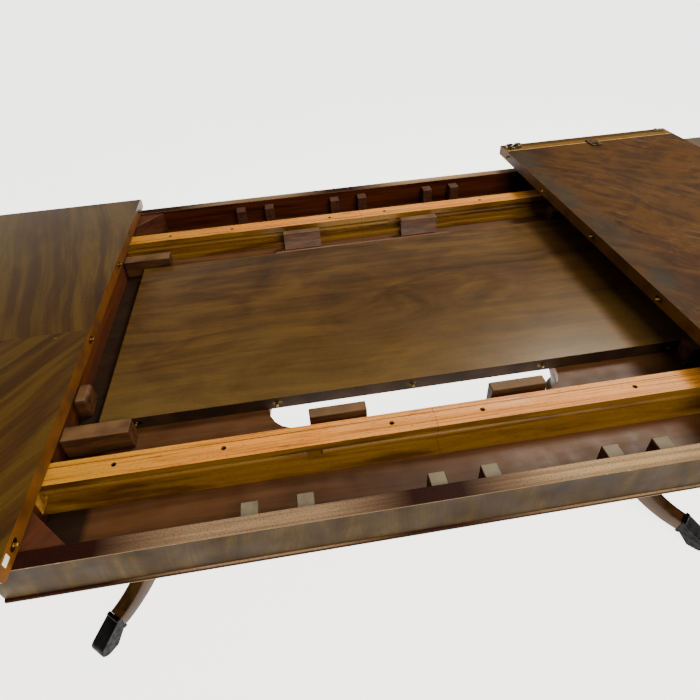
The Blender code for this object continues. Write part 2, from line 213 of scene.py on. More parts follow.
def facing_up(tree: Tree, low: float = 0.55, high: float = 0.85) -> Socket:
    """A mask that is one on faces that look up and zero on upright ones, between two normal heights."""
    return add_node(tree, "MapRange", coordinate(tree, Reading.FACING, Axis.Z), low, high)


def facing_out(tree: Tree) -> Socket:
    """A mask that is one on faces that look away from the table's middle line, to the near or far side.

    Args:
        tree: the node tree to build in.

    Returns:
        The mask socket.
    """
    outward = add_node(tree, "Math", coordinate(tree, Reading.FACING, Axis.Y),
                       coordinate(tree, Reading.PLACE, Axis.Y), operation="MULTIPLY")
    return add_node(tree, "MapRange", outward, 0.10, 0.25)


def band(tree: Tree, axis: Axis, low: float, high: float, soft_mm: float = 0.4) -> Socket:
    """A mask that is one between two places along an axis.

    Args:
        tree: the node tree to build in.
        axis: the axis.
        low: where the band starts, in metres.
        high: where it ends.
        soft_mm: width of its soft edges.

    Returns:
        The mask socket.
    """
    place, soft = coordinate(tree, Reading.PLACE, axis), soft_mm * MM
    above = add_node(tree, "MapRange", place, low, low + soft)
    below = add_node(tree, "MapRange", place, high - soft, high, 1.0, 0.0)
    return add_node(tree, "Math", above, below, operation="MULTIPLY")


def stretches(tree: Tree, length_mm: float, shift: float) -> Socket:
    """A random tone for each of the equal lengths that a board is made up of along X.

    Args:
        tree: the node tree to build in.
        length_mm: one length.
        shift: where the first one starts, as a share of a length.

    Returns:
        The tone's socket, from zero to one.
    """
    along = coordinate(tree, Reading.PLACE, Axis.X)
    counted = add_node(tree, "Math", along, 1 / (length_mm * MM), shift, operation="MULTIPLY_ADD")
    number = add_node(tree, "Math", counted, operation="FLOOR")
    return add_node(tree, "TexWhiteNoise", links={"W": number}, output="Value", noise_dimensions="1D")


@dataclass(frozen=True)
class Streaks:
    """Noise drawn out along the fibres, and how strongly it shows.

    Args:
        length_mm: size of a streak along the fibres.
        width_mm: size of a streak across them.
        detail: octaves of detail.
        curl: how much the streaks curl.
        span: noise values between which the mask changes.
        show: the mask at both ends of the span.
    """

    length_mm: float
    width_mm: float
    detail: float = 3.0
    curl: float = 0.0
    span: Flat = (0.40, 0.60)
    show: Flat = (0.0, 1.0)

    def value(self, tree: Tree, places: Socket) -> Socket:
        """The bare noise on coordinates whose X runs along the fibres.

        Args:
            tree: the node tree to build in.
            places: coordinates whose X runs along the fibres.

        Returns:
            The noise socket, from zero to one.
        """
        across = 1 / (self.width_mm * MM)
        scale = (1 / (self.length_mm * MM), across, across)
        drawn = add_node(tree, "Mapping", places, links={"Scale": scale})
        return add_node(tree, "TexNoise", drawn, output="Fac", links={
            "Scale": 1.0, "Detail": self.detail, "Roughness": 0.55, "Distortion": self.curl})

    def mask(self, tree: Tree, places: Socket) -> Socket:
        """The noise as a mask, held level beyond its span."""
        return add_node(tree, "MapRange", self.value(tree, places), *self.span, *self.show)


@dataclass(frozen=True)
class Blotches:
    """Even noise for dust, wear and stains, and how strongly it shows.

    Args:
        size_mm: size of a patch.
        detail: octaves of detail.
        span: noise values between which the mask changes.
        show: the mask at both ends of the span.
    """

    size_mm: float
    detail: float = 4.0
    span: Flat = (0.35, 0.70)
    show: Flat = (0.0, 1.0)

    def value(self, tree: Tree) -> Socket:
        """The bare noise.

        Args:
            tree: the node tree to build in.

        Returns:
            The noise socket, from zero to one.
        """
        places = add_node(tree, "TexCoord", output=Reading.PLACE.value)
        return add_node(tree, "TexNoise", places, output="Fac", links={
            "Scale": 1 / (self.size_mm * MM), "Detail": self.detail})

    def mask(self, tree: Tree) -> Socket:
        """The noise as a mask, held level beyond its span."""
        return add_node(tree, "MapRange", self.value(tree), *self.span, *self.show)

    def around(self, tree: Tree, middle: float) -> Socket:
        """A number that wanders in patches, its show telling how far below and above a middle value."""
        return replace(self, show=(middle + self.show[0], middle + self.show[1])).mask(tree)


@dataclass(frozen=True)
class FibreRun:
    """How the fibres of a board run.

    Args:
        grain: their direction.
        warp: how far they wander, in metres.
        far_grain: their direction beyond the seam, where two sheets of veneer meet on it.
        seam_y: the seam's place across the table.
        offset: where on the pattern the board lies, in metres.
        bends_per_metre: how often they wander.
    """

    grain: Grain = Grain.LENGTHWISE
    warp: float = 0.05
    far_grain: Grain | None = None
    seam_y: float = 0.0
    offset: float = 0.0
    bends_per_metre: float = 2.3

    def places(self, tree: Tree) -> Socket:
        """Coordinates in metres whose X runs along the fibres, gently bent as real fibres are.

        Args:
            tree: the node tree to build in.

        Returns:
            The vector socket.
        """
        places = turned_places(tree, self.grain)
        if self.far_grain is not None:
            beyond = add_node(tree, "Math", coordinate(tree, Reading.PLACE, Axis.Y), self.seam_y,
                              operation="GREATER_THAN")
            far = turned_places(tree, self.far_grain)
            places = add_node(tree, "Mix", beyond, links={VECTOR_A: places, VECTOR_B: far},
                              output=VECTOR_MIXED, data_type="VECTOR")
        bend = add_node(tree, "TexNoise", places, output="Color", links={
            "Scale": self.bends_per_metre, "Detail": 2.0})
        centred = add_node(tree, "VectorMath", bend, (0.5, 0.5, 0.5), operation="SUBTRACT")
        scaled = add_node(tree, "VectorMath", centred, links={"Scale": self.warp}, operation="SCALE")
        bent = add_node(tree, "VectorMath", places, scaled, operation="ADD")
        shift = (self.offset, self.offset * 0.37, self.offset * 0.61)
        return add_node(tree, "VectorMath", bent, shift, operation="ADD")


# ---- finishes -----------------------------------------------------------------------------------


FIBRES = Streaks(160.0, 1.6, detail=4.0, span=(0.50, 0.74), show=(0.0, 0.55))


@dataclass(frozen=True)
class Finish:
    """A named finish that builds its material once."""

    name: str

    def material(self) -> bpy.types.Material:
        """Make the finish's material on first use.

        Returns:
            The material.
        """
        found = bpy.data.materials.get(self.name)
        if found:
            return found
        made = bpy.data.materials.new(self.name)
        made.use_nodes = True
        tree = made.node_tree
        self.dress(tree, tree.nodes["Principled BSDF"])
        return made

    def dress(self, tree: Tree, shader: bpy.types.Node) -> None:
        """Build the finish's nodes into the tree and link them to the shader.

        Args:
            tree: the node tree to build in.
            shader: the shader to dress.
        """
        raise NotImplementedError


@dataclass(frozen=True)
class PolishedMahogany(Finish):
    """Mahogany under shellac rubbed up by hand: dark ribbons over warm brown, solid lippings on its edges.

    Args:
        dark, middle, light: the figure's tones.
        edge: tone of the solid lipping on upright edges.
        run: how the fibres run.
        ribbon_mm: length and width of a ribbon.
        curl: how much the ribbons curl.
        cloud: place in plan and radius of a dark crotch cloud.
        fibres: fine dark lines about 1.6 mm wide that break the figure up.
        pores: open pores. They are 0.2 mm wide, and drawn at 0.9 mm so that they show as short dark ticks.
        knocks: darker knocks on the edges.
        rubbing: patches where the polish is rubbed more or less.
        painted_sheen_band: places across the table over which a painted pale sheen grows from none to full.
        roughness: the face's middle roughness.
        edge_roughness: the edges' roughness.
        gloss: the specular level.
        relief: strength, and depth in mm, of the pores and fibres.
    """

    dark: str = "#2a1205"
    middle: str = "#4c2a08"
    light: str = "#6e460e"
    edge: str = "#6a3f08"
    run: FibreRun = FibreRun()
    ribbon_mm: Flat = (620.0, 42.0)
    curl: float = 0.5
    cloud: Point | None = None
    fibres: Streaks = FIBRES
    pores: Streaks = Streaks(9.0, 0.9, detail=1.0, span=(0.64, 0.72))
    knocks: Blotches = Blotches(45.0, 5.0, span=(0.42, 0.66), show=(0.0, 0.6))
    rubbing: Blotches = Blotches(140.0, 2.0, span=(0.2, 0.8), show=(-0.05, 0.08))
    painted_sheen_band: Flat | None = None
    roughness: float = 0.34
    edge_roughness: float = 0.5
    gloss: float = 0.5
    relief: Flat = (0.10, 0.3)

    def figure(self, tree: Tree, places: Socket) -> Socket:
        """Build the broad figure's value: ribbons, with a dark crotch cloud where the board has one.

        Args:
            tree: the node tree to build in.
            places: coordinates along the fibres.

        Returns:
            The figure's value socket, zero at its darkest.
        """
        length, width = self.ribbon_mm
        ribbons = Streaks(length, width, detail=4.0, curl=self.curl).value(tree, places)
        broad = Streaks(length * 0.6, width * 4.5, curl=1.0).value(tree, places)
        value = add_node(tree, "Mix", 0.45, links={"A": ribbons, "B": broad})
        if self.cloud is None:
            return value
        x, y, radius = self.cloud
        local = add_node(tree, "Mapping", add_node(tree, "TexCoord", output=Reading.PLACE.value), links={
            "Location": (-x / radius, -y / (radius * 0.5), 0.0), "Scale": (1 / radius, 2 / radius, 0.0)})
        swirl = add_node(tree, "TexNoise", local, output="Fac", links={
            "Scale": 1.5, "Detail": 5.0, "Roughness": 0.6, "Distortion": 2.4})
        away = add_node(tree, "VectorMath", local, output="Value", operation="LENGTH")
        inside = add_node(tree, "MapRange", away, 1.2, 0.1, 0.0, 0.75)
        curled = add_node(tree, "MapRange", swirl, 0.35, 0.70, 0.30, 0.58)
        return add_node(tree, "Mix", inside, links={"A": value, "B": curled})

    def colour(self, tree: Tree, places: Socket) -> Socket:
        """Build the face's colour, before its edges and pores.

        Args:
            tree: the node tree to build in.
            places: coordinates along the fibres.

        Returns:
            The colour's socket: figure, fine fibres and, where a band is given, a painted pale sheen.
        """
        figure = add_node(tree, "ValToRGB", self.figure(tree, places), stops=(
            (0.36, self.dark), (0.48, self.middle), (0.58, self.light), (0.70, self.middle)))
        colour = layered(tree, figure, (self.dark, self.fibres.mask(tree, places)))
        if self.painted_sheen_band is None:
            return colour
        # Painted sheen: a pale veil over the board's near side that stands in for the polish's reflection.
        across = coordinate(tree, Reading.PLACE, Axis.Y)
        sheen_share = add_node(tree, "MapRange", across, *self.painted_sheen_band, 0.0, 0.5)
        uneven = Blotches(130.0, 3.0, span=(0.3, 0.6), show=(0.5, 1.0)).mask(tree)
        painted_sheen = add_node(tree, "Math", sheen_share, uneven, operation="MULTIPLY")
        return layered(tree, colour, ("#6b5730", painted_sheen))

    def dress(self, tree: Tree, shader: bpy.types.Node) -> None:
        """Build the wood: its colour, open pores, solid edges and an uneven rubbed polish.

        Args:
            tree: the node tree to build in.
            shader: the shader to dress.
        """
        places = self.run.places(tree)
        ticks = self.pores.mask(tree, places)
        ink = add_node(tree, "Math", ticks, 0.5, operation="MULTIPLY")
        face = layered(tree, self.colour(tree, places), ("#160903", ink))
        # Solid lipping shows on every upright edge, redder and more golden than the face.
        lipping = layered(tree, self.edge, (self.dark, self.knocks.mask(tree)))
        facing = add_node(tree, "Math", coordinate(tree, Reading.FACING, Axis.Z), operation="ABSOLUTE")
        level = add_node(tree, "MapRange", facing, 0.25, 0.75)
        rubbed = self.rubbing.around(tree, self.roughness)
        lines = replace(self.fibres, detail=2.0).value(tree, places)
        height = add_node(tree, "Math", ticks, -1.0, lines, operation="MULTIPLY_ADD")
        strength, depth_mm = self.relief
        fill_inputs(tree, shader, {
            "Base Color": layered(tree, lipping, (face, level)),
            "Roughness": add_node(tree, "Mix", level, links={"A": self.edge_roughness, "B": rubbed}),
            "Specular IOR Level": self.gloss,
            "Normal": add_node(tree, "Bump", links={
                "Strength": strength, "Distance": depth_mm * MM, "Height": height})})


@dataclass(frozen=True)
class WipedUnderside(PolishedMahogany):
    """A leaf's underside: stain wiped on with a rag, pale where it was scuffed, bare along a rebated end.

    Args:
        end_y: the rebated end's place.
        edge_x: the joining edge's place.
        strip_mm: distances from the end to the ledge and to the strip's inner line.
        scuffs: pale scuffs that follow the rag.
        patches: where the scuffs gather.
        chill: how unevenly the band by the joining edge has gone cold and grey.
    """

    end_y: float = 0.0
    edge_x: float = 0.0
    strip_mm: Flat = (25.0, 50.0)
    scuffs: Streaks = Streaks(60.0, 5.0, detail=6.0, curl=1.5, span=(0.57, 0.74), show=(0.0, 0.6))
    patches: Blotches = Blotches(260.0, 2.0, span=(0.46, 0.62))
    chill: Blotches = Blotches(110.0, 3.0, span=(0.35, 0.6), show=(0.15, 0.85))

    def colour(self, tree: Tree, places: Socket) -> Socket:
        """Build the stain, scuffs, cold band by the joining edge, and the bare strips at the end.

        Args:
            tree: the node tree to build in.
            places: coordinates along the fibres.

        Returns:
            The colour's socket.
        """
        worn = add_node(tree, "Math", self.scuffs.mask(tree, places), self.patches.mask(tree),
                        operation="MULTIPLY")
        by_edge = band(tree, Axis.X, self.edge_x - 0.03, self.edge_x + 0.075, 55.0)
        cold = add_node(tree, "Math", by_edge, self.chill.mask(tree), operation="MULTIPLY")
        sapwood = Streaks(200.0, 3.0, span=(0.4, 0.7), show=(0.0, 0.8)).mask(tree, places)
        bare = layered(tree, "#7a5818", ("#4c3208", sapwood))
        past_end = self.end_y + 0.01
        ledge, line = (self.end_y - distance * MM for distance in self.strip_mm)
        # Darker outer strip: partly a dark lipping and partly painted shade where the end rounds over.
        ledge_lipping_and_shade = add_node(tree, "Math", band(tree, Axis.Y, ledge, past_end), 0.8, operation="MULTIPLY")
        return layered(tree, super().colour(tree, places), ("#8c7a64", worn), ("#34332e", cold),
                       (bare, band(tree, Axis.Y, line, past_end)), ("#3a2606", ledge_lipping_and_shade),
                       ("#d9b98a", band(tree, Axis.Y, line - 2.2 * MM, line, 0.2)))


@dataclass(frozen=True)
class ApronVeneer(PolishedMahogany):
    """Cross-banded veneer outside, stained wood inside, a worn top and an ebonised bead below.

    The top carries dust, and a highlight is painted on one stretch of it and along its arris.

    Args:
        top_z: height of the apron's top.
        bead_z: height of the bead's upper edge.
        worn: stretches of the top that are rubbed pale.
        rubbed: the stretch where a highlight is painted, paler than the worn stretches.
        sheet_mm: length of one sheet of veneer, each a little darker or lighter than the next.
        rubbing: patches where the sides are rubbed more or less.
        rub: how the top's wear follows the fibres.
        chips: pale chips along the top's arris, over a pale line painted all along it as a highlight.
        relief: strength, and depth in mm, of the fibres and dust.
    """

    top_z: float = 0.0
    bead_z: float = 0.0
    worn: tuple[Flat, Flat] = ((-0.50, -0.07), (0.00, 0.74))
    rubbed: Flat = (0.08, 0.40)
    sheet_mm: float = 310.0
    fibres: Streaks = Streaks(60.0, 1.6, detail=4.0, span=(0.48, 0.72), show=(0.0, 0.55))
    rubbing: Blotches = Blotches(60.0, span=(0.35, 0.7), show=(-0.06, 0.14))
    rub: Streaks = Streaks(420.0, 7.0, detail=5.0, span=(0.36, 0.62), show=(0.45, 1.0))
    chips: Streaks = Streaks(14.0, 6.0, detail=5.0, span=(0.60, 0.66))
    relief: Flat = (0.16, 0.4)

    def top_colour(self, tree: Tree, lengthwise: Socket) -> Socket:
        """The top's plum stain, rubbed pale with dust along the worn stretches, and a painted highlight on
        one.

        Args:
            tree: the node tree to build in.
            lengthwise: coordinates along the apron.

        Returns:
            The colour's socket.
        """
        rub = self.rub.mask(tree, lengthwise)
        first, second = (band(tree, Axis.X, low, high, 130.0) for low, high in self.worn)
        somewhere = add_node(tree, "Math", first, second, operation="ADD")
        share = add_node(tree, "Math", rub, somewhere, operation="MULTIPLY")
        # Painted highlight: a still paler tan on one stretch of the top, where a lamp's glint falls.
        most = add_node(tree, "Math", rub, band(tree, Axis.X, *self.rubbed, 110.0), operation="MULTIPLY")
        painted_highlight = add_node(tree, "Math", most, 0.6, operation="MULTIPLY")
        specks = Blotches(2.5, span=(0.52, 0.62), show=(0.0, 0.4)).mask(tree)
        return layered(tree, "#26100c", ("#a2876a", share), ("#cdac7c", painted_highlight), ("#3a2018", specks))

    def side_colour(self, tree: Tree, places: Socket, lengthwise: Socket) -> Socket:
        """The outer veneer, the inner stain, the bead and the arris, chipped and with a painted highlight.

        Args:
            tree: the node tree to build in.
            places: coordinates along the veneer's upright fibres.
            lengthwise: coordinates along the apron.

        Returns:
            The colour's socket.
        """
        figure = add_node(tree, "ValToRGB", self.figure(tree, places), stops=(
            (0.34, self.dark), (0.50, self.middle), (0.64, self.light)))
        tone = add_node(tree, "Math", stretches(tree, self.sheet_mm, 0.3), 0.55, operation="MULTIPLY")
        outside = layered(tree, figure, (self.dark, self.fibres.mask(tree, places)), (self.dark, tone))
        stain = Streaks(260.0, 14.0, detail=5.0, span=(0.35, 0.68)).mask(tree, lengthwise)
        inside = layered(tree, "#2c1006", ("#54270f", stain))
        under = self.bead_z - 0.02
        bead = layered(tree, "#2a1404", ("#8a6a2c", band(tree, Axis.Z, under, self.bead_z - 5.5 * MM)))
        # Painted highlight: the whole top arris is painted partly pale, with the chips paler still.
        arris_chips_and_highlight = add_node(tree, "Math", self.chips.mask(tree, lengthwise), 0.5, 0.35,
                           operation="MULTIPLY_ADD")
        along_top = band(tree, Axis.Z, self.top_z - 1.6 * MM, self.top_z + 1 * MM, 0.2)
        arris = add_node(tree, "Math", along_top, arris_chips_and_highlight, operation="MULTIPLY")
        return layered(tree, inside, (outside, facing_out(tree)),
                       (bead, band(tree, Axis.Z, under, self.bead_z)), ("#a88a60", arris))

    def dress(self, tree: Tree, shader: bpy.types.Node) -> None:
        """Build the sides, then lay the top over them, with a dry uneven sheen.

        Args:
            tree: the node tree to build in.
            shader: the shader to dress.
        """
        places, lengthwise = self.run.places(tree), turned_places(tree, Grain.LENGTHWISE)
        side, top = self.side_colour(tree, places, lengthwise), self.top_colour(tree, lengthwise)
        dust = Blotches(3.0).value(tree)
        height = add_node(tree, "Math", self.fibres.value(tree, places), dust, operation="ADD")
        strength, depth_mm = self.relief
        fill_inputs(tree, shader, {
            "Base Color": layered(tree, side, (top, facing_up(tree))),
            "Roughness": self.rubbing.around(tree, self.roughness),
            "Specular IOR Level": self.gloss,
            "Normal": add_node(tree, "Bump", links={
                "Strength": strength, "Distance": depth_mm * MM, "Height": height})})


@dataclass(frozen=True)
class CaseWood(Finish):
    """Sawn and scraped secondary wood, darkened by age but never polished, greyed on its tops by dust and
    painted sheen.

    Args:
        dark, light: tones of its streaks.
        dust_and_sheen: the grey tone on the tops, part dust and part painted sheen.
        dust: how much of that tone lies on the tops.
        run: how the fibres run.
        streak_mm: length and width of a streak.
        fibres: fine dark lines along it.
        grime: patches of dust, whose roughness differs too.
        saw: band-saw marks 3 mm apart across the fibres, felt more than seen.
        roughness: its middle roughness.
        gloss: the specular level.
        plies: whether its cut edges show plies.
        painted_shade_band: the stretch along the table where near-black shade is painted.
        relief: strength, and depth in mm, of the saw marks and fibres.
    """

    dark: str = "#2a140b"
    light: str = "#6a4128"
    dust_and_sheen: str = "#857768"
    dust: float = 0.55
    run: FibreRun = FibreRun(warp=0.03)
    streak_mm: Flat = (380.0, 26.0)
    fibres: Streaks = Streaks(70.0, 1.4, span=(0.48, 0.72), show=(0.0, 0.5))
    grime: Blotches = Blotches(38.0, span=(0.3, 0.7), show=(-0.08, 0.12))
    saw: Streaks = Streaks(3.0, 60.0, detail=1.0)
    roughness: float = 0.55
    gloss: float = 0.3
    plies: bool = False
    painted_shade_band: Flat | None = None
    relief: Flat = (0.16, 0.4)

    def cut_through(self, tree: Tree, colour: Socket) -> Socket:
        """Lay plies 2 mm thick, pale and dark in turn, over a colour where the panel is cut through.

        Args:
            tree: the node tree to build in.
            colour: the panel's colour.

        Returns:
            The colour's socket.
        """
        phase = add_node(tree, "Math", coordinate(tree, Reading.PLACE, Axis.Z), 2 * math.pi / (4 * MM),
                         operation="MULTIPLY")
        wave = add_node(tree, "Math", phase, operation="SINE")
        cut = layered(tree, colour, ("#54381e", add_node(tree, "MapRange", wave, -0.3, 0.3, 0.10, 0.6)))
        return layered(tree, cut, (colour, facing_up(tree, 0.3, 0.6)))

    def dress(self, tree: Tree, shader: bpy.types.Node) -> None:
        """Build the plain wood: streaks, fibres, saw marks, tops greyed by dust and painted sheen, a band of
        painted shade where one is given and, on a panel, ply edges.

        Args:
            tree: the node tree to build in.
            shader: the shader to dress.
        """
        places = self.run.places(tree)
        broad = Streaks(*self.streak_mm, detail=5.0, curl=0.4, span=(0.33, 0.66)).mask(tree, places)
        # Dust and painted sheen: up-facing faces take a grey tone, part settled dust and part a sheen painted
        # in.
        settled = replace(self.grime, span=(0.3, 0.62), show=(self.dust * 0.4, self.dust)).mask(tree)
        dust = add_node(tree, "Math", facing_up(tree, 0.75, 0.95), settled, operation="MULTIPLY")
        colour = layered(tree, self.dark, (self.light, broad), (self.dark, self.fibres.mask(tree, places)),
                         (self.dust_and_sheen, dust))
        # Painted shade: a near-black band across the given stretch, where the case is narrow and deep.
        if self.painted_shade_band:
            black = add_node(tree, "Math", band(tree, Axis.X, *self.painted_shade_band, 12.0), 0.85, operation="MULTIPLY")
            colour = layered(tree, colour, ("#0d0603", black))
        if self.plies:
            colour = self.cut_through(tree, colour)
        height = add_node(tree, "Math", self.saw.value(tree, places), self.fibres.value(tree, places),
                          operation="ADD")
        strength, depth_mm = self.relief
        fill_inputs(tree, shader, {
            "Base Color": colour,
            "Roughness": self.grime.around(tree, self.roughness),
            "Specular IOR Level": self.gloss,
            "Normal": add_node(tree, "Bump", links={
                "Strength": strength, "Distance": depth_mm * MM, "Height": height})})


@dataclass(frozen=True)
class WaxedOak(Finish):
    """Planed oak, waxed where it slides: orange-tan on top, deep olive-gold on its moulded sides.

    Up-facing faces below its top take the olive-gold too, as painted shade.

    Args:
        tan, yellow, line: the top's tones in its middle, toward its ends and in its growth lines.
        golden, shade: the sides' tones.
        top_z: height of the waxed top; up-facing faces more than 2 mm below it get the sides' tones as
            painted shade.
        stave_mm: length of one stave, each of its own tone.
        butt: where two lengths of oak butt together, a little off the middle.
        lines: growth lines.
        pores: pores. They are 0.3 mm wide, and drawn at 0.8 mm so that they show as dashes along the fibres.
        stains: old glue stains.
        rubbing: patches where the wax is rubbed more or less.
        roughness: its middle roughness.
        gloss: the specular level.
        relief: strength, and depth in mm, of the pores and growth lines.
    """

    tan: str = "#f29a34"
    yellow: str = "#cf9426"
    line: str = "#9a5214"
    golden: str = "#7c5608"
    shade: str = "#422404"
    top_z: float = 0.0
    stave_mm: float = 337.0
    butt: Flat = (0.0020, 0.0032)
    lines: Streaks = Streaks(180.0, 3.2, detail=5.0, curl=0.5, span=(0.46, 0.68), show=(0.0, 0.8))
    pores: Streaks = Streaks(7.0, 0.8, detail=1.0, span=(0.62, 0.70), show=(0.0, 0.7))
    stains: Streaks = Streaks(90.0, 12.0, detail=5.0, span=(0.60, 0.72), show=(0.0, 0.75))
    rubbing: Blotches = Blotches(110.0, span=(0.3, 0.7), show=(-0.08, 0.1))
    roughness: float = 0.46
    gloss: float = 0.35
    relief: Flat = (0.18, 0.4)

    def dress(self, tree: Tree, shader: bpy.types.Node) -> None:
        """Build the oak: staves of different tone, growth lines, glue stains, pore ticks and old oil.

        Args:
            tree: the node tree to build in.
            shader: the shader to dress.
        """
        places = FibreRun(warp=0.012).places(tree)
        from_middle = add_node(tree, "Math", coordinate(tree, Reading.PLACE, Axis.X), operation="ABSOLUTE")
        ends = add_node(tree, "MapRange", from_middle, 0.30, 0.56, 0.0, 0.9)
        tan = layered(tree, self.tan, ("#f0a452", stretches(tree, self.stave_mm, 0.5)), (self.yellow, ends),
                      (self.line, self.lines.mask(tree, places)), ("#6a3c14", self.stains.mask(tree, places)))
        pale = Streaks(300.0, 7.0, detail=4.0, span=(0.42, 0.62), show=(0.0, 0.8)).mask(tree, places)
        dark = Streaks(240.0, 30.0, detail=5.0, span=(0.48, 0.62), show=(0.0, 0.85)).mask(tree, places)
        oiled = layered(tree, self.golden, ("#8a661a", pale), (self.shade, dark))
        # Painted shade: only up-facing faces near the top take the tan; lower up-facing faces stay olive-gold
        # as if shaded.
        on_top = add_node(tree, "Math", facing_up(tree),
                          band(tree, Axis.Z, self.top_z - 2 * MM, self.top_z + 0.05), operation="MULTIPLY")
        joint = add_node(tree, "Math", band(tree, Axis.X, *self.butt, 0.3), 0.75, operation="MULTIPLY")
        ticks = self.pores.mask(tree, places)
        height = add_node(tree, "Math", ticks, -1.2, self.lines.value(tree, places), operation="MULTIPLY_ADD")
        strength, depth_mm = self.relief
        fill_inputs(tree, shader, {
            "Base Color": layered(tree, oiled, (tan, on_top), ("#2a1404", joint), ("#4e2a10", ticks)),
            "Roughness": self.rubbing.around(tree, self.roughness),
            "Specular IOR Level": self.gloss,
            "Normal": add_node(tree, "Bump", links={
                "Strength": strength, "Distance": depth_mm * MM, "Height": height})})


@dataclass(frozen=True)
class AgedMetal(Finish):
    """Cast or turned metal, aged: bright where it is rubbed, dull and darker in its hollows.

    Args:
        bright, dull: its tones.
        roughness: roughness where it is bright.
        tarnish_rise: how much rougher it is where it is dull.
        grit_mm: grain of its skin, with tarnish in patches five times as large.
        relief: strength, and depth in mm, of the skin.
    """

    bright: str = "#a8863c"
    dull: str = "#3a2c12"
    roughness: float = 0.34
    tarnish_rise: float = 0.22
    grit_mm: float = 2.5
    relief: Flat = (0.14, 0.25)

    def dress(self, tree: Tree, shader: bpy.types.Node) -> None:
        """Build the metal: tarnish in patches, with the roughness following it, and a fine cast skin.

        Args:
            tree: the node tree to build in.
            shader: the shader to dress.
        """
        tarnish = Blotches(self.grit_mm * 5, 5.0, span=(0.38, 0.66)).mask(tree)
        dulled = self.roughness + self.tarnish_rise
        strength, depth_mm = self.relief
        fill_inputs(tree, shader, {
            "Base Color": layered(tree, self.bright, (self.dull, tarnish)),
            "Metallic": 1.0,
            "Roughness": add_node(tree, "MapRange", tarnish, 0.0, 1.0, self.roughness, dulled),
            "Normal": add_node(tree, "Bump", links={
                "Strength": strength, "Distance": depth_mm * MM,
                "Height": Blotches(self.grit_mm, 3.0).value(tree)})})


@dataclass(frozen=True)
class PolishedBone(Finish):
    """A thin slip of old bone, yellowed, with faint veins along it and a low sheen."""

    veins: Streaks = Streaks(12.0, 0.8, span=(0.45, 0.75), show=(0.0, 0.6))

    def dress(self, tree: Tree, shader: bpy.types.Node) -> None:
        """Build the bone: its veins, and a sheen that follows them.

        Args:
            tree: the node tree to build in.
            shader: the shader to dress.
        """
        places = turned_places(tree, Grain.CROSSWISE)
        sheen = replace(self.veins, span=(0.3, 0.7), show=(0.32, 0.5)).mask(tree, places)
        fill_inputs(tree, shader, {
            "Base Color": layered(tree, "#ece6d4", ("#b9ab86", self.veins.mask(tree, places))),
            "Roughness": sheen})


@dataclass(frozen=True)
class StudioPaper(Finish):
    """Seamless pale paper, matt, lit evenly from behind, so that it reads as a white with no edge to it.

    Args:
        glow: strength of the light behind it.
    """

    glow: float = 3.4

    def dress(self, tree: Tree, shader: bpy.types.Node) -> None:
        """Build the paper: one pale tone with the faintest mottle.

        Args:
            tree: the node tree to build in.
            shader: the shader to dress.
        """
        tone = layered(tree, "#f6f6f4", ("#fafaf9", Blotches(700.0, 2.0).value(tree)))
        fill_inputs(tree, shader, {"Base Color": tone, "Emission Color": tone, "Emission Strength": self.glow,
                                   "Roughness": 0.9, "Specular IOR Level": 0.1})


def top_of(node: str) -> float:
    """Height of a CAD node's top."""
    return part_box(node)[1].z


# Mahogany veneer laid in two sheets that meet on a seam, French polished: broad ribbons in a chevron
# under a clear, fairly sharp gloss.
HALF_TOP_VENEER = PolishedMahogany(
    "mahogany_veneer_half_top_french_polished", dark="#301b09", middle="#432b0c", light="#594213",
    run=FibreRun(Grain.RISING, 0.07, Grain.LEANING, seam_y=-0.060), ribbon_mm=(900.0, 34.0), curl=0.3,
    fibres=replace(FIBRES, show=(0.0, 0.4)), roughness=0.24, gloss=0.45)
# The same veneer kept out of use inside the table: a dark crotch cloud, a pale sheen painted over its near
# side, its polish gone soft and its edges bare and black.
STORED_LEAF_VENEER = PolishedMahogany(
    "mahogany_veneer_stored_leaf_french_polished", dark="#38240f", middle="#503719", light="#62471f",
    edge="#1e0f03", run=FibreRun(warp=0.06, offset=3.1), ribbon_mm=(300.0, 26.0), cloud=(0.06, 0.0, 0.34),
    fibres=replace(FIBRES, show=(0.0, 0.25)), painted_sheen_band=(0.05, -0.26), roughness=0.33, edge_roughness=0.8,
    gloss=0.20)
# The underside of the spare leaf, stained with a rag and left: dry, mottled, with almost no sheen.
SPARE_LEAF_UNDERSIDE = WipedUnderside(
    "mahogany_spare_leaf_underside_wiped_stain", dark="#2e1906", middle="#422708", light="#54350a",
    edge="#5a3a0c", run=FibreRun(Grain.WIPED, 0.22, offset=7.7), ribbon_mm=(170.0, 52.0), curl=1.6,
    fibres=replace(FIBRES, show=(0.0, 0.3)), roughness=0.58, gloss=0.08,
    end_y=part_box("spare_leaf")[1].y, edge_x=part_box("spare_leaf")[0].x)
# Cross-banded veneer with its fibres upright, worn dull by hands: short dark bars along the table's side.
APRON_VENEER = ApronVeneer(
    "mahogany_apron_crossbanded_and_stained", dark="#22160a", middle="#36270c", light="#493712",
    run=FibreRun(Grain.UPRIGHT, 0.08, offset=1.3), ribbon_mm=(90.0, 26.0), roughness=0.50, gloss=0.06,
    top_z=top_of("apron_near"), bead_z=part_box("apron_near")[0].z + 9 * MM)
# Solid mahogany turned and carved, then French polished: dark, with a soft highlight down every round.
TURNED_MAHOGANY = PolishedMahogany(
    "mahogany_turned_and_carved_french_polished", dark="#1f0f03", middle="#352006", light="#4a320e",
    edge="#3a2404", run=FibreRun(Grain.UPRIGHT, 0.02, offset=5.2), ribbon_mm=(300.0, 22.0), roughness=0.36,
    gloss=0.2)
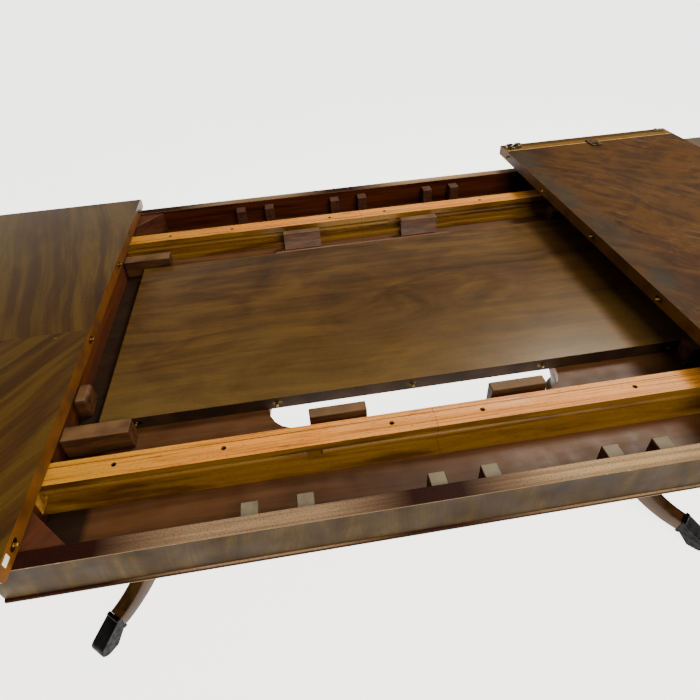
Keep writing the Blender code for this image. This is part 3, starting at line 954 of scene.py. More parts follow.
# Sawn mahogany under a red stain: plain and warm, with little dust.
END_RAIL_WOOD = CaseWood(
    "mahogany_end_rail_sawn_and_stained", dark="#2a0f04", light="#5c2c08", dust_and_sheen="#5e4028", dust=0.3,
    run=FibreRun(Grain.CROSSWISE, 0.03))
# Plywood with a mahogany face, oiled: a quiet even board, its plies showing in the hand slots, with shade
# painted near black in the narrow strip by its left end rail.
PANEL_WOOD = CaseWood(
    "mahogany_faced_plywood_panel_oiled", dark="#341a0a", light="#663f20", dust_and_sheen="#6e4e30", dust=0.3,
    streak_mm=(420.0, 26.0), roughness=0.5, plies=True, painted_shade_band=(-0.64, -0.545))
# Offcuts of mahogany, sawn and glued in: short grain, dry, with dust and a painted sheen on top.
BLOCK_WOOD = CaseWood(
    "mahogany_glue_block_sawn_and_darkened", dark="#281006", light="#5a381a", dust_and_sheen="#846646", dust=0.6,
    streak_mm=(90.0, 12.0), roughness=0.6)
# The same wood planed for the corners: smoother and a little redder.
CORNER_WOOD = CaseWood(
    "mahogany_corner_block_planed", dark="#2e120a", light="#582c14", dust_and_sheen="#5e3c26", dust=0.25,
    run=FibreRun(Grain.RISING, 0.03), streak_mm=(140.0, 14.0))
# Softwood spacers along the near apron: grey-brown under thick dust and a painted sheen on their tops.
NEAR_SPACER_WOOD = CaseWood(
    "softwood_spacer_block_dusty", dark="#3a2416", light="#5f4632", dust_and_sheen="#807a66", dust=0.9,
    run=FibreRun(Grain.CROSSWISE, 0.03), streak_mm=(60.0, 9.0), roughness=0.65)
# The same spacers along the far apron, and the stop pegs, stained with the case: red-brown, with less dust
# and painted sheen.
FAR_SPACER_WOOD = CaseWood(
    "softwood_spacer_block_stained", dark="#28120a", light="#54301a", dust_and_sheen="#5c4230", dust=0.7,
    run=FibreRun(Grain.CROSSWISE, 0.03), streak_mm=(60.0, 9.0), roughness=0.6)
# Oak, planed and waxed by use: orange-tan where the tops slide on it, olive-gold below, and olive-gold on its
# lower up-facing faces as painted shade.
RAIL_OAK = WaxedOak("oak_slide_rail_planed_and_waxed", top_z=top_of("slide_rail_near"))
# The same oak with its sides painted pale golden, as painted light on faces that the lamps leave in shade.
RUNNER_OAK = WaxedOak("oak_runner_planed_and_waxed", golden="#c89444", shade="#8a6020",
                      top_z=top_of("runner_left_near"))
# Brass turned on a lathe and tarnished: yellow glints over brown.
BRASS = AgedMetal("brass_turned_and_tarnished", grit_mm=1.2)
# Brass plate bronzed nearly black, so that only its rim catches the light.
BRONZED_BRASS = AgedMetal("brass_plate_bronzed", bright="#4a3c20", dull="#16110a", roughness=0.38)
# Steel stamped and oxidised: grey with dark hollows and a dull shine.
LOCK_STEEL = AgedMetal("steel_stamped_and_oxidised", bright="#96937f", dull="#36342a")
# Iron sheared from sheet and rusted brown: dry and almost without shine.
KEEPER_IRON = AgedMetal("iron_sheared_and_rusted", bright="#5c4a34", dull="#2a1c10", roughness=0.5)
# Iron cast and blackened: a satin black that shows its round shoulders.
BLACK_IRON = AgedMetal("iron_cast_and_blackened", bright="#191919", dull="#080808", roughness=0.44)
# Screws turned from steel and browned in the wood's acid: dark heads with a faint rim.
SCREW_STEEL = AgedMetal("steel_screw_turned_and_browned", bright="#2e2219", dull="#0d0805", roughness=0.5,
                        grit_mm=1.0)
# Bone sawn thin and polished: the one nearly white spot on the table.
BONE = PolishedBone("bone_slip_sawn_and_polished")


# ---- mesh helpers -------------------------------------------------------------------------------


ALONG, ACROSS, UP = Vector((1, 0, 0)), Vector((0, 1, 0)), Vector((0, 0, 1))
# Edges that turn by more than this many degrees stay sharp.
CREASE = 32.0
# Faces of a CAD mesh that turn by less than this many degrees are one flat face.
FLAT_WITHIN = 1.0
# Points of a CAD mesh nearer than this are one point.
WELD = 0.01 * MM


def arc(cx: float, cy: float, radius: float, start: float, end: float, steps: int) -> list[Flat]:
    """Points on a circular arc, with its angles in degrees."""
    angles = [math.radians(start + (end - start) * i / steps) for i in range(steps + 1)]
    return [(cx + radius * math.cos(a), cy + radius * math.sin(a)) for a in angles]


def stadium(half_length: float, radius: float, steps: int = 10, side_steps: int = 6) -> list[Flat]:
    """Outline of a round-ended plate, with points along its straight sides too.

    Args:
        half_length: distance from its middle to its tip, along X.
        radius: radius of its ends.
        steps: steps round each end.
        side_steps: steps along each side.

    Returns:
        The outline's points.
    """
    reach = half_length - radius
    straight = [reach * (1 - 2 * i / side_steps) for i in range(1, side_steps)]
    return (arc(reach, 0, radius, -90, 90, steps) + [(x, radius) for x in straight]
            + arc(-reach, 0, radius, 90, 270, steps) + [(-x, -radius) for x in straight])


def skin(loops: Sequence[Sequence[Sequence[float]]]) -> bmesh.types.BMesh:
    """Skin a stack of loops with the same number of points and cap both ends.

    Args:
        loops: closed loops of points, from one end to the other.

    Returns:
        The closed mesh, as a bmesh.
    """
    shape = bmesh.new()
    rings = [[shape.verts.new(point) for point in loop] for loop in loops]
    count = len(rings[0])
    for lower, upper in zip(rings, rings[1:]):
        for i in range(count):
            shape.faces.new((lower[i], lower[(i + 1) % count], upper[(i + 1) % count], upper[i]))
    shape.faces.new(list(reversed(rings[0])))
    shape.faces.new(rings[-1])
    bmesh.ops.recalc_face_normals(shape, faces=shape.faces)
    return shape


def plate(outline: Sequence[Flat], low: float, high: float, arris: float = 0.0) -> bmesh.types.BMesh:
    """A flat plate from an outline round the origin, its top arris drawn in a little.

    Args:
        outline: the plate's points in plan.
        low: height of its underside.
        high: height of its top.
        arris: how far the top is drawn in.

    Returns:
        The closed mesh, as a bmesh.
    """
    reach = max(abs(x) for x, _ in outline)
    shrink = 1 - arris / reach
    loops = [[(x, y, low) for x, y in outline], [(x, y, high - arris) for x, y in outline]]
    if arris:
        loops.append([(x * shrink, y * shrink, high) for x, y in outline])
    return skin(loops)


def turned(profile: Sequence[Flat], segments: int = 24) -> bmesh.types.BMesh:
    """Turn a profile of radius and height about Z, from the bottom up."""
    angles = [2 * math.pi * i / segments for i in range(segments)]
    return skin([[(r * math.cos(a), r * math.sin(a), z) for a in angles] for r, z in profile])


def swept_ring(section: Sequence[Flat], segments: int = 36) -> bmesh.types.BMesh:
    """Sweep a closed section of radius and height round Z.

    Args:
        section: its points.
        segments: sides of the ring.

    Returns:
        The closed mesh, as a bmesh.
    """
    shape = bmesh.new()
    turns = [2 * math.pi * i / segments for i in range(segments)]
    rings = [[shape.verts.new((r * math.cos(a), r * math.sin(a), z)) for r, z in section] for a in turns]
    count = len(section)
    for k, ring in enumerate(rings):
        after = rings[(k + 1) % segments]
        for i in range(count):
            shape.faces.new((ring[i], ring[(i + 1) % count], after[(i + 1) % count], after[i]))
    bmesh.ops.recalc_face_normals(shape, faces=shape.faces)
    return shape


def axes(x_axis: Vector, y_axis: Vector, z_axis: Vector, at: Vector) -> Matrix:
    """A matrix that sends the three axes and the origin to these."""
    return Matrix.Translation(at) @ Matrix((x_axis, y_axis, z_axis)).transposed().to_4x4()


def add_piece(name: str, shape: bmesh.types.BMesh, finish: Finish, body: str, place: Matrix | None = None) -> bpy.types.Object:
    """Turn a bmesh into a dressed piece that rides on a CAD body.

    Args:
        name: the piece's name.
        shape: its mesh, which is used up.
        finish: its finish.
        body: the CAD body that it moves with.
        place: where it goes, in the row frame.

    Returns:
        The new object.
    """
    if place is not None:
        shape.transform(place)
    mesh = bpy.data.meshes.new(name)
    shape.to_mesh(mesh)
    shape.free()
    mesh.materials.append(finish.material())
    mesh.shade_smooth()
    mesh.set_sharp_from_angle(angle=math.radians(CREASE))
    piece = bpy.data.objects.new(name, mesh)
    bpy.context.scene.collection.objects.link(piece)
    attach(piece, body)
    log.info("%s: %d faces, on %s, %s", name, len(mesh.polygons), body, finish.name)
    return piece


def soften(piece: bpy.types.Object, width_mm: float, segments: int = 2) -> None:
    """Round a piece's sharp arrises with a bevel that stays on the object.

    Args:
        piece: the piece.
        width_mm: radius of the round.
        segments: its steps.
    """
    bevel = piece.modifiers.new("softened_arrises", "BEVEL")
    bevel.width = width_mm * MM
    bevel.segments = segments
    bevel.limit_method = "ANGLE"
    bevel.angle_limit = math.radians(CREASE)
    bevel.harden_normals = True


def refine(node: str, finish: Finish, softness_mm: float = 0.8) -> bpy.types.Object:
    """Stand a softened, smooth-shaded copy of a CAD node in its place.

    Args:
        node: the CAD node.
        finish: the copy's finish.
        softness_mm: radius of its softened arrises.

    Returns:
        The new piece, which replaces the node.
    """
    source = frame["nodes"][node]
    shape = bmesh.new()
    shape.from_mesh(source.data)
    bmesh.ops.remove_doubles(shape, verts=shape.verts, dist=WELD)
    bmesh.ops.dissolve_limit(shape, angle_limit=math.radians(FLAT_WITHIN), verts=shape.verts,
                             edges=shape.edges)
    piece = add_piece(node + "_dressed", shape, finish, source["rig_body"])
    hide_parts(node)
    if softness_mm:
        soften(piece, softness_mm)
    return piece


def cut_away(piece: bpy.types.Object, shape: bmesh.types.BMesh) -> None:
    """Cut a shape out of a piece's mesh, which has to be unmodified so far.

    Args:
        piece: the piece, with its mesh in the row frame.
        shape: the cutter, which is used up.
    """
    mesh = bpy.data.meshes.new("cutter")
    shape.to_mesh(mesh)
    shape.free()
    cutter = bpy.data.objects.new("cutter", mesh)
    bpy.context.scene.collection.objects.link(cutter)
    kept = [(modifier, modifier.show_viewport) for modifier in piece.modifiers]
    for modifier, _ in kept:
        modifier.show_viewport = False
    cut = piece.modifiers.new("cut", "BOOLEAN")
    cut.operation = "DIFFERENCE"
    cut.object = cutter
    evaluated = piece.evaluated_get(bpy.context.evaluated_depsgraph_get())
    piece.data = bpy.data.meshes.new_from_object(evaluated)
    piece.data.set_sharp_from_angle(angle=math.radians(CREASE))
    piece.modifiers.remove(cut)
    for modifier, shown in kept:
        modifier.show_viewport = shown
    bpy.data.objects.remove(cutter)


def add_drill(shape: bmesh.types.BMesh, place: Matrix, radius: float, depth: float,
              clear: float = 2 * MM) -> None:
    """Add a drill to a cutter, from its place down its own -Z.

    Args:
        shape: the cutter.
        place: the hole's mouth, with +Z out of it.
        radius: the hole's radius.
        depth: the hole's depth, from which a clearance more is cut at its mouth and its floor.
        clear: that clearance.
    """
    middle = Matrix.Translation((0, 0, clear - depth / 2))
    bmesh.ops.create_cone(shape, cap_ends=True, segments=20, radius1=radius, radius2=radius,
                          depth=depth + 2 * clear, matrix=place @ middle)


# ---- fittings -----------------------------------------------------------------------------------


@dataclass
class SlottedScrew:
    """A countersunk screw's head with a slot across it.

    Args:
        radius: the head's radius.
        slot_share: the slot's half width, as a share of the radius.
        rim_share: depth of the rim, as a share of the radius.
        crown_share: radius of the flat top, as a share of the head's.
        arris: height of the rounded edge between them.
    """

    radius: float = 0.0036
    slot_share: float = 0.15
    rim_share: float = 0.3
    crown_share: float = 0.94
    arris: float = 0.15 * MM

    def head(self) -> bmesh.types.BMesh:
        """A flat head facing +Z, made of two half rounds that leave the slot between them.

        Returns:
            The head, as a bmesh.
        """
        r, gap, crown = self.radius, self.radius * self.slot_share, self.crown_share
        rim = -r * self.rim_share
        start = math.degrees(math.asin(self.slot_share))
        shape = turned([(r * 0.5, -r), (r, rim)], 28)
        half = arc(0, 0, r, start, 180 - start, 14)
        for sign in (1, -1):
            loops = [[(sign * x, sign * max(y, gap), z) for x, y in half] for z in (rim, -self.arris)]
            loops.append([(sign * x * crown, sign * max(y * crown, gap), 0.0) for x, y in half])
            part = skin(loops)
            mesh = bpy.data.meshes.new("half_head")
            part.to_mesh(mesh)
            part.free()
            shape.from_mesh(mesh)
            bpy.data.meshes.remove(mesh)
        return shape

    def build(self, name: str, body: str, place: Matrix, finish: Finish, turn: float = 0.0) -> None:
        """Build the screw's head.

        Args:
            name: the piece's name.
            body: the CAD body that it rides on.
            place: its place, with +Z out of the head.
            finish: its metal.
            turn: the slot's turn, in degrees.
        """
        add_piece(name, self.head(), finish, body, place @ Matrix.Rotation(math.radians(turn), 4, "Z"))


@dataclass
class EdgeFittings:
    """The row of brass pins or sockets along a board's joining edge.

    Args:
        spots: their places along the edge, from its middle.
        plate_half: half length and end radius of the oval plate behind each.
        plate_stand: how far the plate stands out of the edge.
        plate_arris: width and height of the plate's softened rim.
        let_in: how deep the plate is let in.
        radius: radius of a pin's shank.
        reach: how far a pin stands out.
        cup_depth: depth of the cup that takes a pin.
    """

    spots: tuple[float, ...] = (-0.4968, -0.2484, 0.0, 0.2484, 0.4968)
    plate_half: Flat = (0.0105, 0.0046)
    plate_stand: float = 0.12 * MM
    plate_arris: Flat = (0.35 * MM, 0.3 * MM)
    let_in: float = 0.5 * MM
    radius: float = 0.0030
    reach: float = 0.0075
    cup_depth: float = 0.0090

    def places(self, middle: Vector, along: Vector, out: Vector) -> list[Matrix]:
        """The place of each fitting, with +Z out of the edge.

        Args:
            middle: middle of the edge face.
            along: direction of the edge.
            out: the way that the edge faces.

        Returns:
            One matrix for each fitting.
        """
        return [axes(along, out.cross(along), out, middle + along * spot) for spot in self.spots]

    def plate_shape(self, hole: float) -> bmesh.types.BMesh:
        """An oval plate let in almost flush, with a cup sunk through it or a boss in its middle.

        Args:
            hole: radius of the cup, or zero for a plate under a pin.

        Returns:
            The plate, facing +Z.
        """
        outline, top = stadium(*self.plate_half), self.plate_stand
        arris_width, arris_height = self.plate_arris
        shrink = 1 - arris_width / self.plate_half[0]
        turns = [math.atan2(y, x) for x, y in outline]
        sleeve: list[Flat] = []
        rings = [(self.radius * 1.3, top), (self.radius * 1.2, top - 0.1 * MM)]
        if hole:
            sleeve = [(hole * 1.15, -self.cup_depth - self.let_in), (hole * 1.15, -self.let_in)]
            rings = [(hole, top), (hole * 0.96, -self.cup_depth)]
        loops = [[(r * math.cos(a), r * math.sin(a), z) for a in turns] for r, z in sleeve]
        loops += [[(x, y, z) for x, y in outline] for z in (-self.let_in, top - arris_height)]
        loops.append([(x * shrink, y * shrink, top) for x, y in outline])
        loops += [[(r * math.cos(a), r * math.sin(a), z) for a in turns] for r, z in rings]
        return skin(loops)

    def pin_shape(self) -> bmesh.types.BMesh:
        """A turned pin with a low collar and a bullet end, pointing along +Z.

        Returns:
            The pin, as a bmesh.
        """
        r = self.radius
        collar = [(r * 1.1, -1 * MM), (r * 1.1, 1.0 * MM), (r * 1.06, 1.3 * MM), (r, 1.5 * MM)]
        return turned(collar + arc(0, self.reach - r, r, 0, 84, 7), 20)

    def build(self, name: str, board: bpy.types.Object, body: str, places: Sequence[Matrix],
              pins: bool) -> None:
        """Build the row, drilling the board behind each socket.

        Args:
            name: what the pieces' names start with.
            board: the board, which sockets are drilled into.
            body: the CAD body of the board.
            places: the place of each fitting.
            pins: pins if true, sockets if false.
        """
        hole = 0.0 if pins else self.radius * 1.25
        if not pins:
            drill = bmesh.new()
            for place in places:
                add_drill(drill, place, hole * 1.2, self.cup_depth + 1 * MM)
            cut_away(board, drill)
        for number, place in enumerate(places, start=1):
            add_piece(f"{name}_plate_{number}", self.plate_shape(hole), BRONZED_BRASS, body, place)
            if pins:
                add_piece(f"{name}_pin_{number}", self.pin_shape(), BRASS, body, place)


# ---- boards -------------------------------------------------------------------------------------


def nose(thickness: float, steps: int, depth: float | None = None) -> list[Flat]:
    """Inset and height, from the underside up, of a rounded edge.

    Args:
        thickness: the board's thickness.
        steps: steps of the round.
        depth: how far the round draws in, a full half-round unless given.

    Returns:
        The inset and height of each step.
    """
    radius = thickness / 2
    angles = [math.radians(-90 + 180 * i / steps) for i in range(steps + 1)]
    if depth is None:
        return [(radius * (1 - math.cos(a)), radius * (1 + math.sin(a))) for a in angles]
    lower = [(depth * (1 - math.cos(a)), depth * (1 + math.sin(a))) for a in angles[:steps // 2 + 1]]
    return lower + [(inset, thickness - height) for inset, height in reversed(lower)]


@dataclass
class HalfTop:
    """One half of the sliding top: a nosed board with fittings on its joining edge and runners below.

    Args:
        side: -1 for the left half-top, 1 for the right one.
        corner_radius: radius of its outer corners in plan.
        corner_steps: steps round each of them.
        nose_steps: steps of the round nose.
        arris: softening of the joining edge.
        runner_screws: places of the screws up into the half-top, as shares of a runner's length.
        plug_inset: distance of the brass seam plug from the joining edge.
        plug_y: the plug's place across the table.
        plug_radius: the plug's radius.
        tab_size: length, height and thickness of the bone slip let into the joining edge.
        tab_place: distance of the slip's middle from the near side.
        tab_rise: height of its middle over the edge's.
        fittings: the pins or sockets along the joining edge.
    """

    side: int
    corner_radius: float = 0.110
    corner_steps: int = 20
    nose_steps: int = 20
    arris: float = 0.0008
    runner_screws: tuple[float, ...] = (0.06, 0.34, 0.66, 0.94)
    plug_inset: float = 0.062
    plug_y: float = -0.077
    plug_radius: float = 0.0042
    tab_size: Point = (0.015, 0.0095, 0.0008)
    tab_place: float = 0.026
    tab_rise: float = 4 * MM
    fittings: EdgeFittings = field(default_factory=lambda: EdgeFittings((-0.509, -0.076, 0.208, 0.497)))

    @property
    def label(self) -> str:
        """The half-top's side in words."""
        return "left" if self.side < 0 else "right"

    @property
    def body(self) -> str:
        """The CAD body that everything on the half-top rides on."""
        return f"top_{self.label}"

    @property
    def node(self) -> str:
        """The CAD node that the board stands for."""
        return f"half_top_{self.label}"

    def outline(self, low: Vector, high: Vector, inset: float, joint_inset: float) -> list[Flat]:
        """The board's plan outline at one height.

        Args:
            low: lowest corner of the CAD board.
            high: highest corner of the CAD board.
            inset: how far the three nosed edges are drawn in.
            joint_inset: how far the joining edge is drawn in.

        Returns:
            The outline's points, from one end of the joining edge round to the other.
        """
        joint = (low.x if self.side > 0 else -high.x) + joint_inset
        outer = (high.x if self.side > 0 else -low.x) - inset
        half, radius = (high.y - low.y) / 2 - inset, self.corner_radius - inset
        points = [(joint, -half)]
        points += arc(outer - radius, radius - half, radius, -90, 0, self.corner_steps)
        points += arc(outer - radius, half - radius, radius, 0, 90, self.corner_steps)
        points.append((joint, half))
        return [(self.side * x, y) for x, y in points]

    def build_board(self) -> bpy.types.Object:
        """Build the board with its round nose and softened joining edge.

        Returns:
            The board.
        """
        low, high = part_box(self.node)
        sections = nose(high.z - low.z, self.nose_steps)
        loops = []
        for i, (inset, height) in enumerate(sections):
            joint_inset = self.arris if i in (0, len(sections) - 1) else 0.0
            loops.append([(x, y, low.z + height) for x, y in self.outline(low, high, inset, joint_inset)])
        board = add_piece(self.node + "_board", skin(loops), HALF_TOP_VENEER, self.body)
        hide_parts(self.node)
        return board

    def edge_middle(self) -> Vector:
        """Middle of the joining edge's face."""
        low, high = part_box(self.node)
        return Vector((high.x if self.side < 0 else low.x, 0.0, (low.z + high.z) / 2))

    def build_marks(self) -> None:
        """Build the brass plug on the seam and the bone slip near the joining edge's end."""
        low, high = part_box(self.node)
        plug = Matrix.Translation((high.x - self.plug_inset, self.plug_y, high.z + 0.1 * MM))
        SlottedScrew(self.plug_radius).build("seam_plug", self.body, plug, BRASS, turn=20)
        length, height, thick = self.tab_size
        outline = [(x * length / 2, y * height / 2) for x, y in ((-1, -1), (1, -1), (1, 1), (-1, 1))]
        spot = self.edge_middle() + Vector((0, low.y + self.tab_place, self.tab_rise))
        slip = add_piece("bone_slip", plate(outline, -0.5 * MM, thick, 0.3 * MM), BONE, self.body,
                         axes(ACROSS, UP, ALONG, spot))
        soften(slip, 0.3)

    def build_runners(self) -> None:
        """Build both runners and the screws up through them."""
        for way in ("near", "far"):
            node = f"runner_{self.label}_{way}"
            refine(node, RUNNER_OAK, 0.6)
            low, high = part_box(node)
            for number, share in enumerate(self.runner_screws, start=1):
                spot = Vector((low.x + (high.x - low.x) * share, (low.y + high.y) / 2, low.z - 0.1 * MM))
                SlottedScrew().build(f"{node}_screw_{number}", self.body, axes(ALONG, -ACROSS, -UP, spot),
                                     SCREW_STEEL, turn=share * 300)

    def build(self) -> None:
        """Build the board, its fittings, its marks and its runners."""
        board = self.build_board()
        places = self.fittings.places(self.edge_middle(), ACROSS, ALONG * -self.side)
        self.fittings.build(self.node, board, self.body, places, pins=self.side < 0)
        if self.side < 0:
            self.build_marks()
        self.build_runners()


@dataclass
class Leaf:
    """A loose leaf: nosed ends, square joining edges, pins on one edge and sockets on the other.

    Args:
        node: its CAD node and body.
        finish: its finish.
        along: direction of its length.
        pin_edge: the way that its pinned edge faces.
        nose_steps: steps of the rounded ends.
        end_round: how far the rounding draws in at its ends.
        arris: softening of the joining edges.
        fittings: the pins and sockets along them.
    """

    node: str
    finish: Finish
    along: Vector
    pin_edge: Vector
    nose_steps: int = 12
    end_round: float = 0.0035
    arris: float = 0.0008
    fittings: EdgeFittings = field(default_factory=EdgeFittings)

    def measure(self) -> tuple[Vector, float, float, float]:
        """The leaf's middle, half length, half width and thickness.

        Returns:
            The middle as a vector, and the three sizes.
        """
        low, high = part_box(self.node)
        size = high - low
        return ((low + high) / 2, abs(size.dot(self.along)) / 2, abs(size.dot(self.pin_edge)) / 2, size.z)

    def build_board(self) -> bpy.types.Object:
        """Build the leaf's board.

        Returns:
            The board.
        """
        centre, half_length, half_width, thickness = self.measure()
        base, across = centre - UP * thickness / 2, UP.cross(self.along)
        sections = nose(thickness, self.nose_steps, self.end_round)
        loops = []
        for i, (inset, height) in enumerate(sections):
            a = half_length - inset
            b = half_width - (self.arris if i in (0, len(sections) - 1) else 0.0)
            loops.append([base + self.along * x + across * y + UP * height
                          for x, y in ((-a, -b), (a, -b), (a, b), (-a, b))])
        board = add_piece(self.node + "_board", skin(loops), self.finish, self.node)
        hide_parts(self.node)
        return board

    def build(self) -> bpy.types.Object:
        """Build the board with its pins and sockets.

        Returns:
            The board.
        """
        board = self.build_board()
        centre, _, half_width, _ = self.measure()
        for pins, out in ((True, self.pin_edge), (False, -self.pin_edge)):
            name = f"{self.node}_{'pins' if pins else 'sockets'}"
            places = self.fittings.places(centre + out * half_width, self.along, out)
            self.fittings.build(name, board, self.node, places, pins)
        return board


@dataclass
class SpareLeaf(Leaf):
    """The leaf that lies face down, with its rebated end, its swivelling lock, its keeper and a corner clip.

    Args:
        rebate: width and depth of the rebate along its far end.
        lock_room: length left whole beside the lock.
        clip_room: length left whole beside the clip.
        rivet_radius: radius of the lock's rivet.
        ring: wire radius and reach of the ring round each of the lock's eyes.
        clip_inset: distances of the clip's middle from the leaf's right and far edges.
        clip_half: half length and end radius of the clip.
        stud_radius: radius of the clip's stud.
    """

    rebate: Flat = (0.050, 0.0012)
    lock_room: float = 0.068
    clip_room: float = 0.022
    rivet_radius: float = 0.0042
    ring: Flat = (0.0022, 0.0096)
    clip_inset: Flat = (0.024, 0.013)
    clip_half: Flat = (0.017, 0.007)
    stud_radius: float = 0.0045

    def build_rebate(self, board: bpy.types.Object) -> None:
        """Cut the shallow rebate along the far end.

        Args:
            board: the leaf's board.
        """
        low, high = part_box(self.node)
        width, depth = self.rebate
        # The cutter stands past the board's end and over its face.
        size = Vector((high.x - low.x - self.lock_room - self.clip_room, width + 0.02, depth + 0.01))
        middle = Vector((low.x + self.lock_room + size.x / 2, high.y - width + size.y / 2,
                         high.z - depth + size.z / 2))
        place = Matrix.Translation(middle) @ Matrix.Diagonal(size.to_4d())
        cutter = bmesh.new()
        bmesh.ops.create_cube(cutter, size=1.0, matrix=place)
        cut_away(board, cutter)

    def build_lock(self) -> None:
        """Build the two-eyed lock, the dome rivet that it turns on and the washer under it."""
        refine("leaf_lock", LOCK_STEEL, 0.9)
        low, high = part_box("leaf_lock")
        pivot = next(joint["pos_m"] for joint in frame["joints"] if joint["name"] == "leaf_lock_swivel")
        r, stand = self.rivet_radius, high.z
        profile = [(r * 0.7, low.z - 2 * MM), (r * 0.7, stand - 0.2 * MM), (r * 1.15, stand + 0.1 * MM),
                   (r * 1.15, stand + 0.6 * MM), (r * 0.95, stand + 1.5 * MM), (r * 0.5, stand + 2.1 * MM),
                   (r * 0.05, stand + 2.3 * MM)]
        add_piece("lock_rivet", turned(profile, 28), LOCK_STEEL, self.node,
                  Matrix.Translation((pivot[0], pivot[1], 0)))
        wire, reach = self.ring
        middle = high.z + wire * 0.8
        section = [(r, middle + (z - middle) * 1.6) for r, z in arc(reach, middle, wire, 0, 330, 11)]
        for name, x in (("lock_ring_inner", pivot[0]), ("lock_ring_outer", low.x + (high.x - pivot[0]))):
            add_piece(name, swept_ring(section), LOCK_STEEL, "leaf_lock",
                      Matrix.Translation((x, pivot[1], 0)))

    def build_keeper(self) -> None:
        """Build the keeper plate with its two screws."""
        refine("leaf_latch", KEEPER_IRON, 0.5)
        low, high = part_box("leaf_latch")
        for number, y in enumerate((low.y + 0.006, high.y - 0.007), start=1):
            spot = Matrix.Translation(((low.x + high.x) / 2, y, high.z + 0.15 * MM))
            SlottedScrew(0.0028).build(f"keeper_screw_{number}", self.node, spot, SCREW_STEEL,
                                       turn=35 * number)

    def build_clip(self) -> None:
        """Build the clip at the far corner, with its screw and its stud."""
        leaf_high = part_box(self.node)[1]
        spot = leaf_high - Vector((*self.clip_inset, 0))
        base = add_piece("corner_clip", plate(stadium(*self.clip_half), -0.4 * MM, 1.6 * MM, 0.4 * MM),
                         LOCK_STEEL, self.node, Matrix.Translation(spot))
        soften(base, 0.3)
        screw = Matrix.Translation(spot + Vector((0.007, 0, 1.7 * MM)))
        SlottedScrew(0.0030).build("corner_clip_screw", self.node, screw, BRASS, turn=50)
        round_stud = arc(0, 0, self.stud_radius, 0, 342, 19)
        add_piece("corner_clip_stud", plate(round_stud, 1.4 * MM, 4.5 * MM, 0.8 * MM), LOCK_STEEL, self.node,
                  Matrix.Translation(spot - Vector((0.008, 0, 0))))

    def build(self) -> bpy.types.Object:
        """Build the leaf, its rebate and its hardware.

        Returns:
            The board.
        """
        board = super().build()
        self.build_rebate(board)
        self.build_lock()
        self.build_keeper()
        self.build_clip()
        return board


# ---- case ---------------------------------------------------------------------------------------


@dataclass
class SlideRail:
    """A fixed oak rail with its counterbored screws and a stop peg near each end.

    Args:
        way: near or far.
        screw_places: places of the screws along the rail, from the viewer's left on the near rail.
        counterbore: radius and depth of the hole over each screw.
        peg: radius and height of a stop peg.
        peg_inset: distance of a peg from the rail's end.
    """

    way: str
    screw_places: tuple[float, ...] = (-0.507, -0.338, -0.069, 0.082, 0.345, 0.507)
    counterbore: Flat = (0.0042, 0.0035)
    peg: Flat = (0.0045, 0.008)
    peg_inset: float = 0.020

    def build(self) -> None:
        """Build the rail, its screws and its pegs."""
        node = f"slide_rail_{self.way}"
        rail = refine(node, RAIL_OAK, 0.5)
        low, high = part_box(node)
        middle_y, flip = (low.y + high.y) / 2, 1 if self.way == "near" else -1
        spots = [Vector((flip * x, middle_y, high.z)) for x in self.screw_places]
        drill = bmesh.new()
        for spot in spots:
            add_drill(drill, Matrix.Translation(spot), *self.counterbore)
        cut_away(rail, drill)
        for number, spot in enumerate(spots, start=1):
            place = Matrix.Translation(spot - UP * (self.counterbore[1] - 0.6 * MM))
            SlottedScrew(0.0038).build(f"{node}_screw_{number}", "case", place, SCREW_STEEL, turn=67 * number)
        radius, height = self.peg
        profile = [(radius, -1 * MM), (radius, height - 1.2 * MM), (radius * 0.85, height - 0.3 * MM),
                   (radius * 0.6, height)]
        for number, x in enumerate((low.x + self.peg_inset, high.x - self.peg_inset), start=1):
            add_piece(f"{node}_stop_peg_{number}", turned(profile, 20), FAR_SPACER_WOOD, "case",
                      Matrix.Translation((x, middle_y, high.z)))


@dataclass
class Case:
    """The shallow case under the tops: aprons, end rails, panel, rails and glue blocks.

    Args:
        finishes: the start of a part's name to its finish and the softening of its arrises in mm.
    """

    finishes: dict[str, tuple[Finish, float]] = field(default_factory=lambda: {
        "apron": (APRON_VENEER, 0.7),
        "end_rail": (END_RAIL_WOOD, 1.0),
        "bottom_panel": (PANEL_WOOD, 0.5),
        "corner_block": (CORNER_WOOD, 1.2),
        "leaf_locator": (BLOCK_WOOD, 1.5),
        "leaf_guide": (BLOCK_WOOD, 1.5),
        "end_stop": (BLOCK_WOOD, 1.5),
        "spacer_block_near": (NEAR_SPACER_WOOD, 1.2),
        "spacer_block_far": (FAR_SPACER_WOOD, 1.2)})

    def build(self) -> None:
        """Build every fixed wooden part of the case."""
        for node in sorted(frame["nodes"]):
            for start, (finish, softness) in self.finishes.items():
                if node.startswith(start):
                    refine(node, finish, softness)
        for way in ("near", "far"):
            SlideRail(way).build()


# ---- pedestals ----------------------------------------------------------------------------------


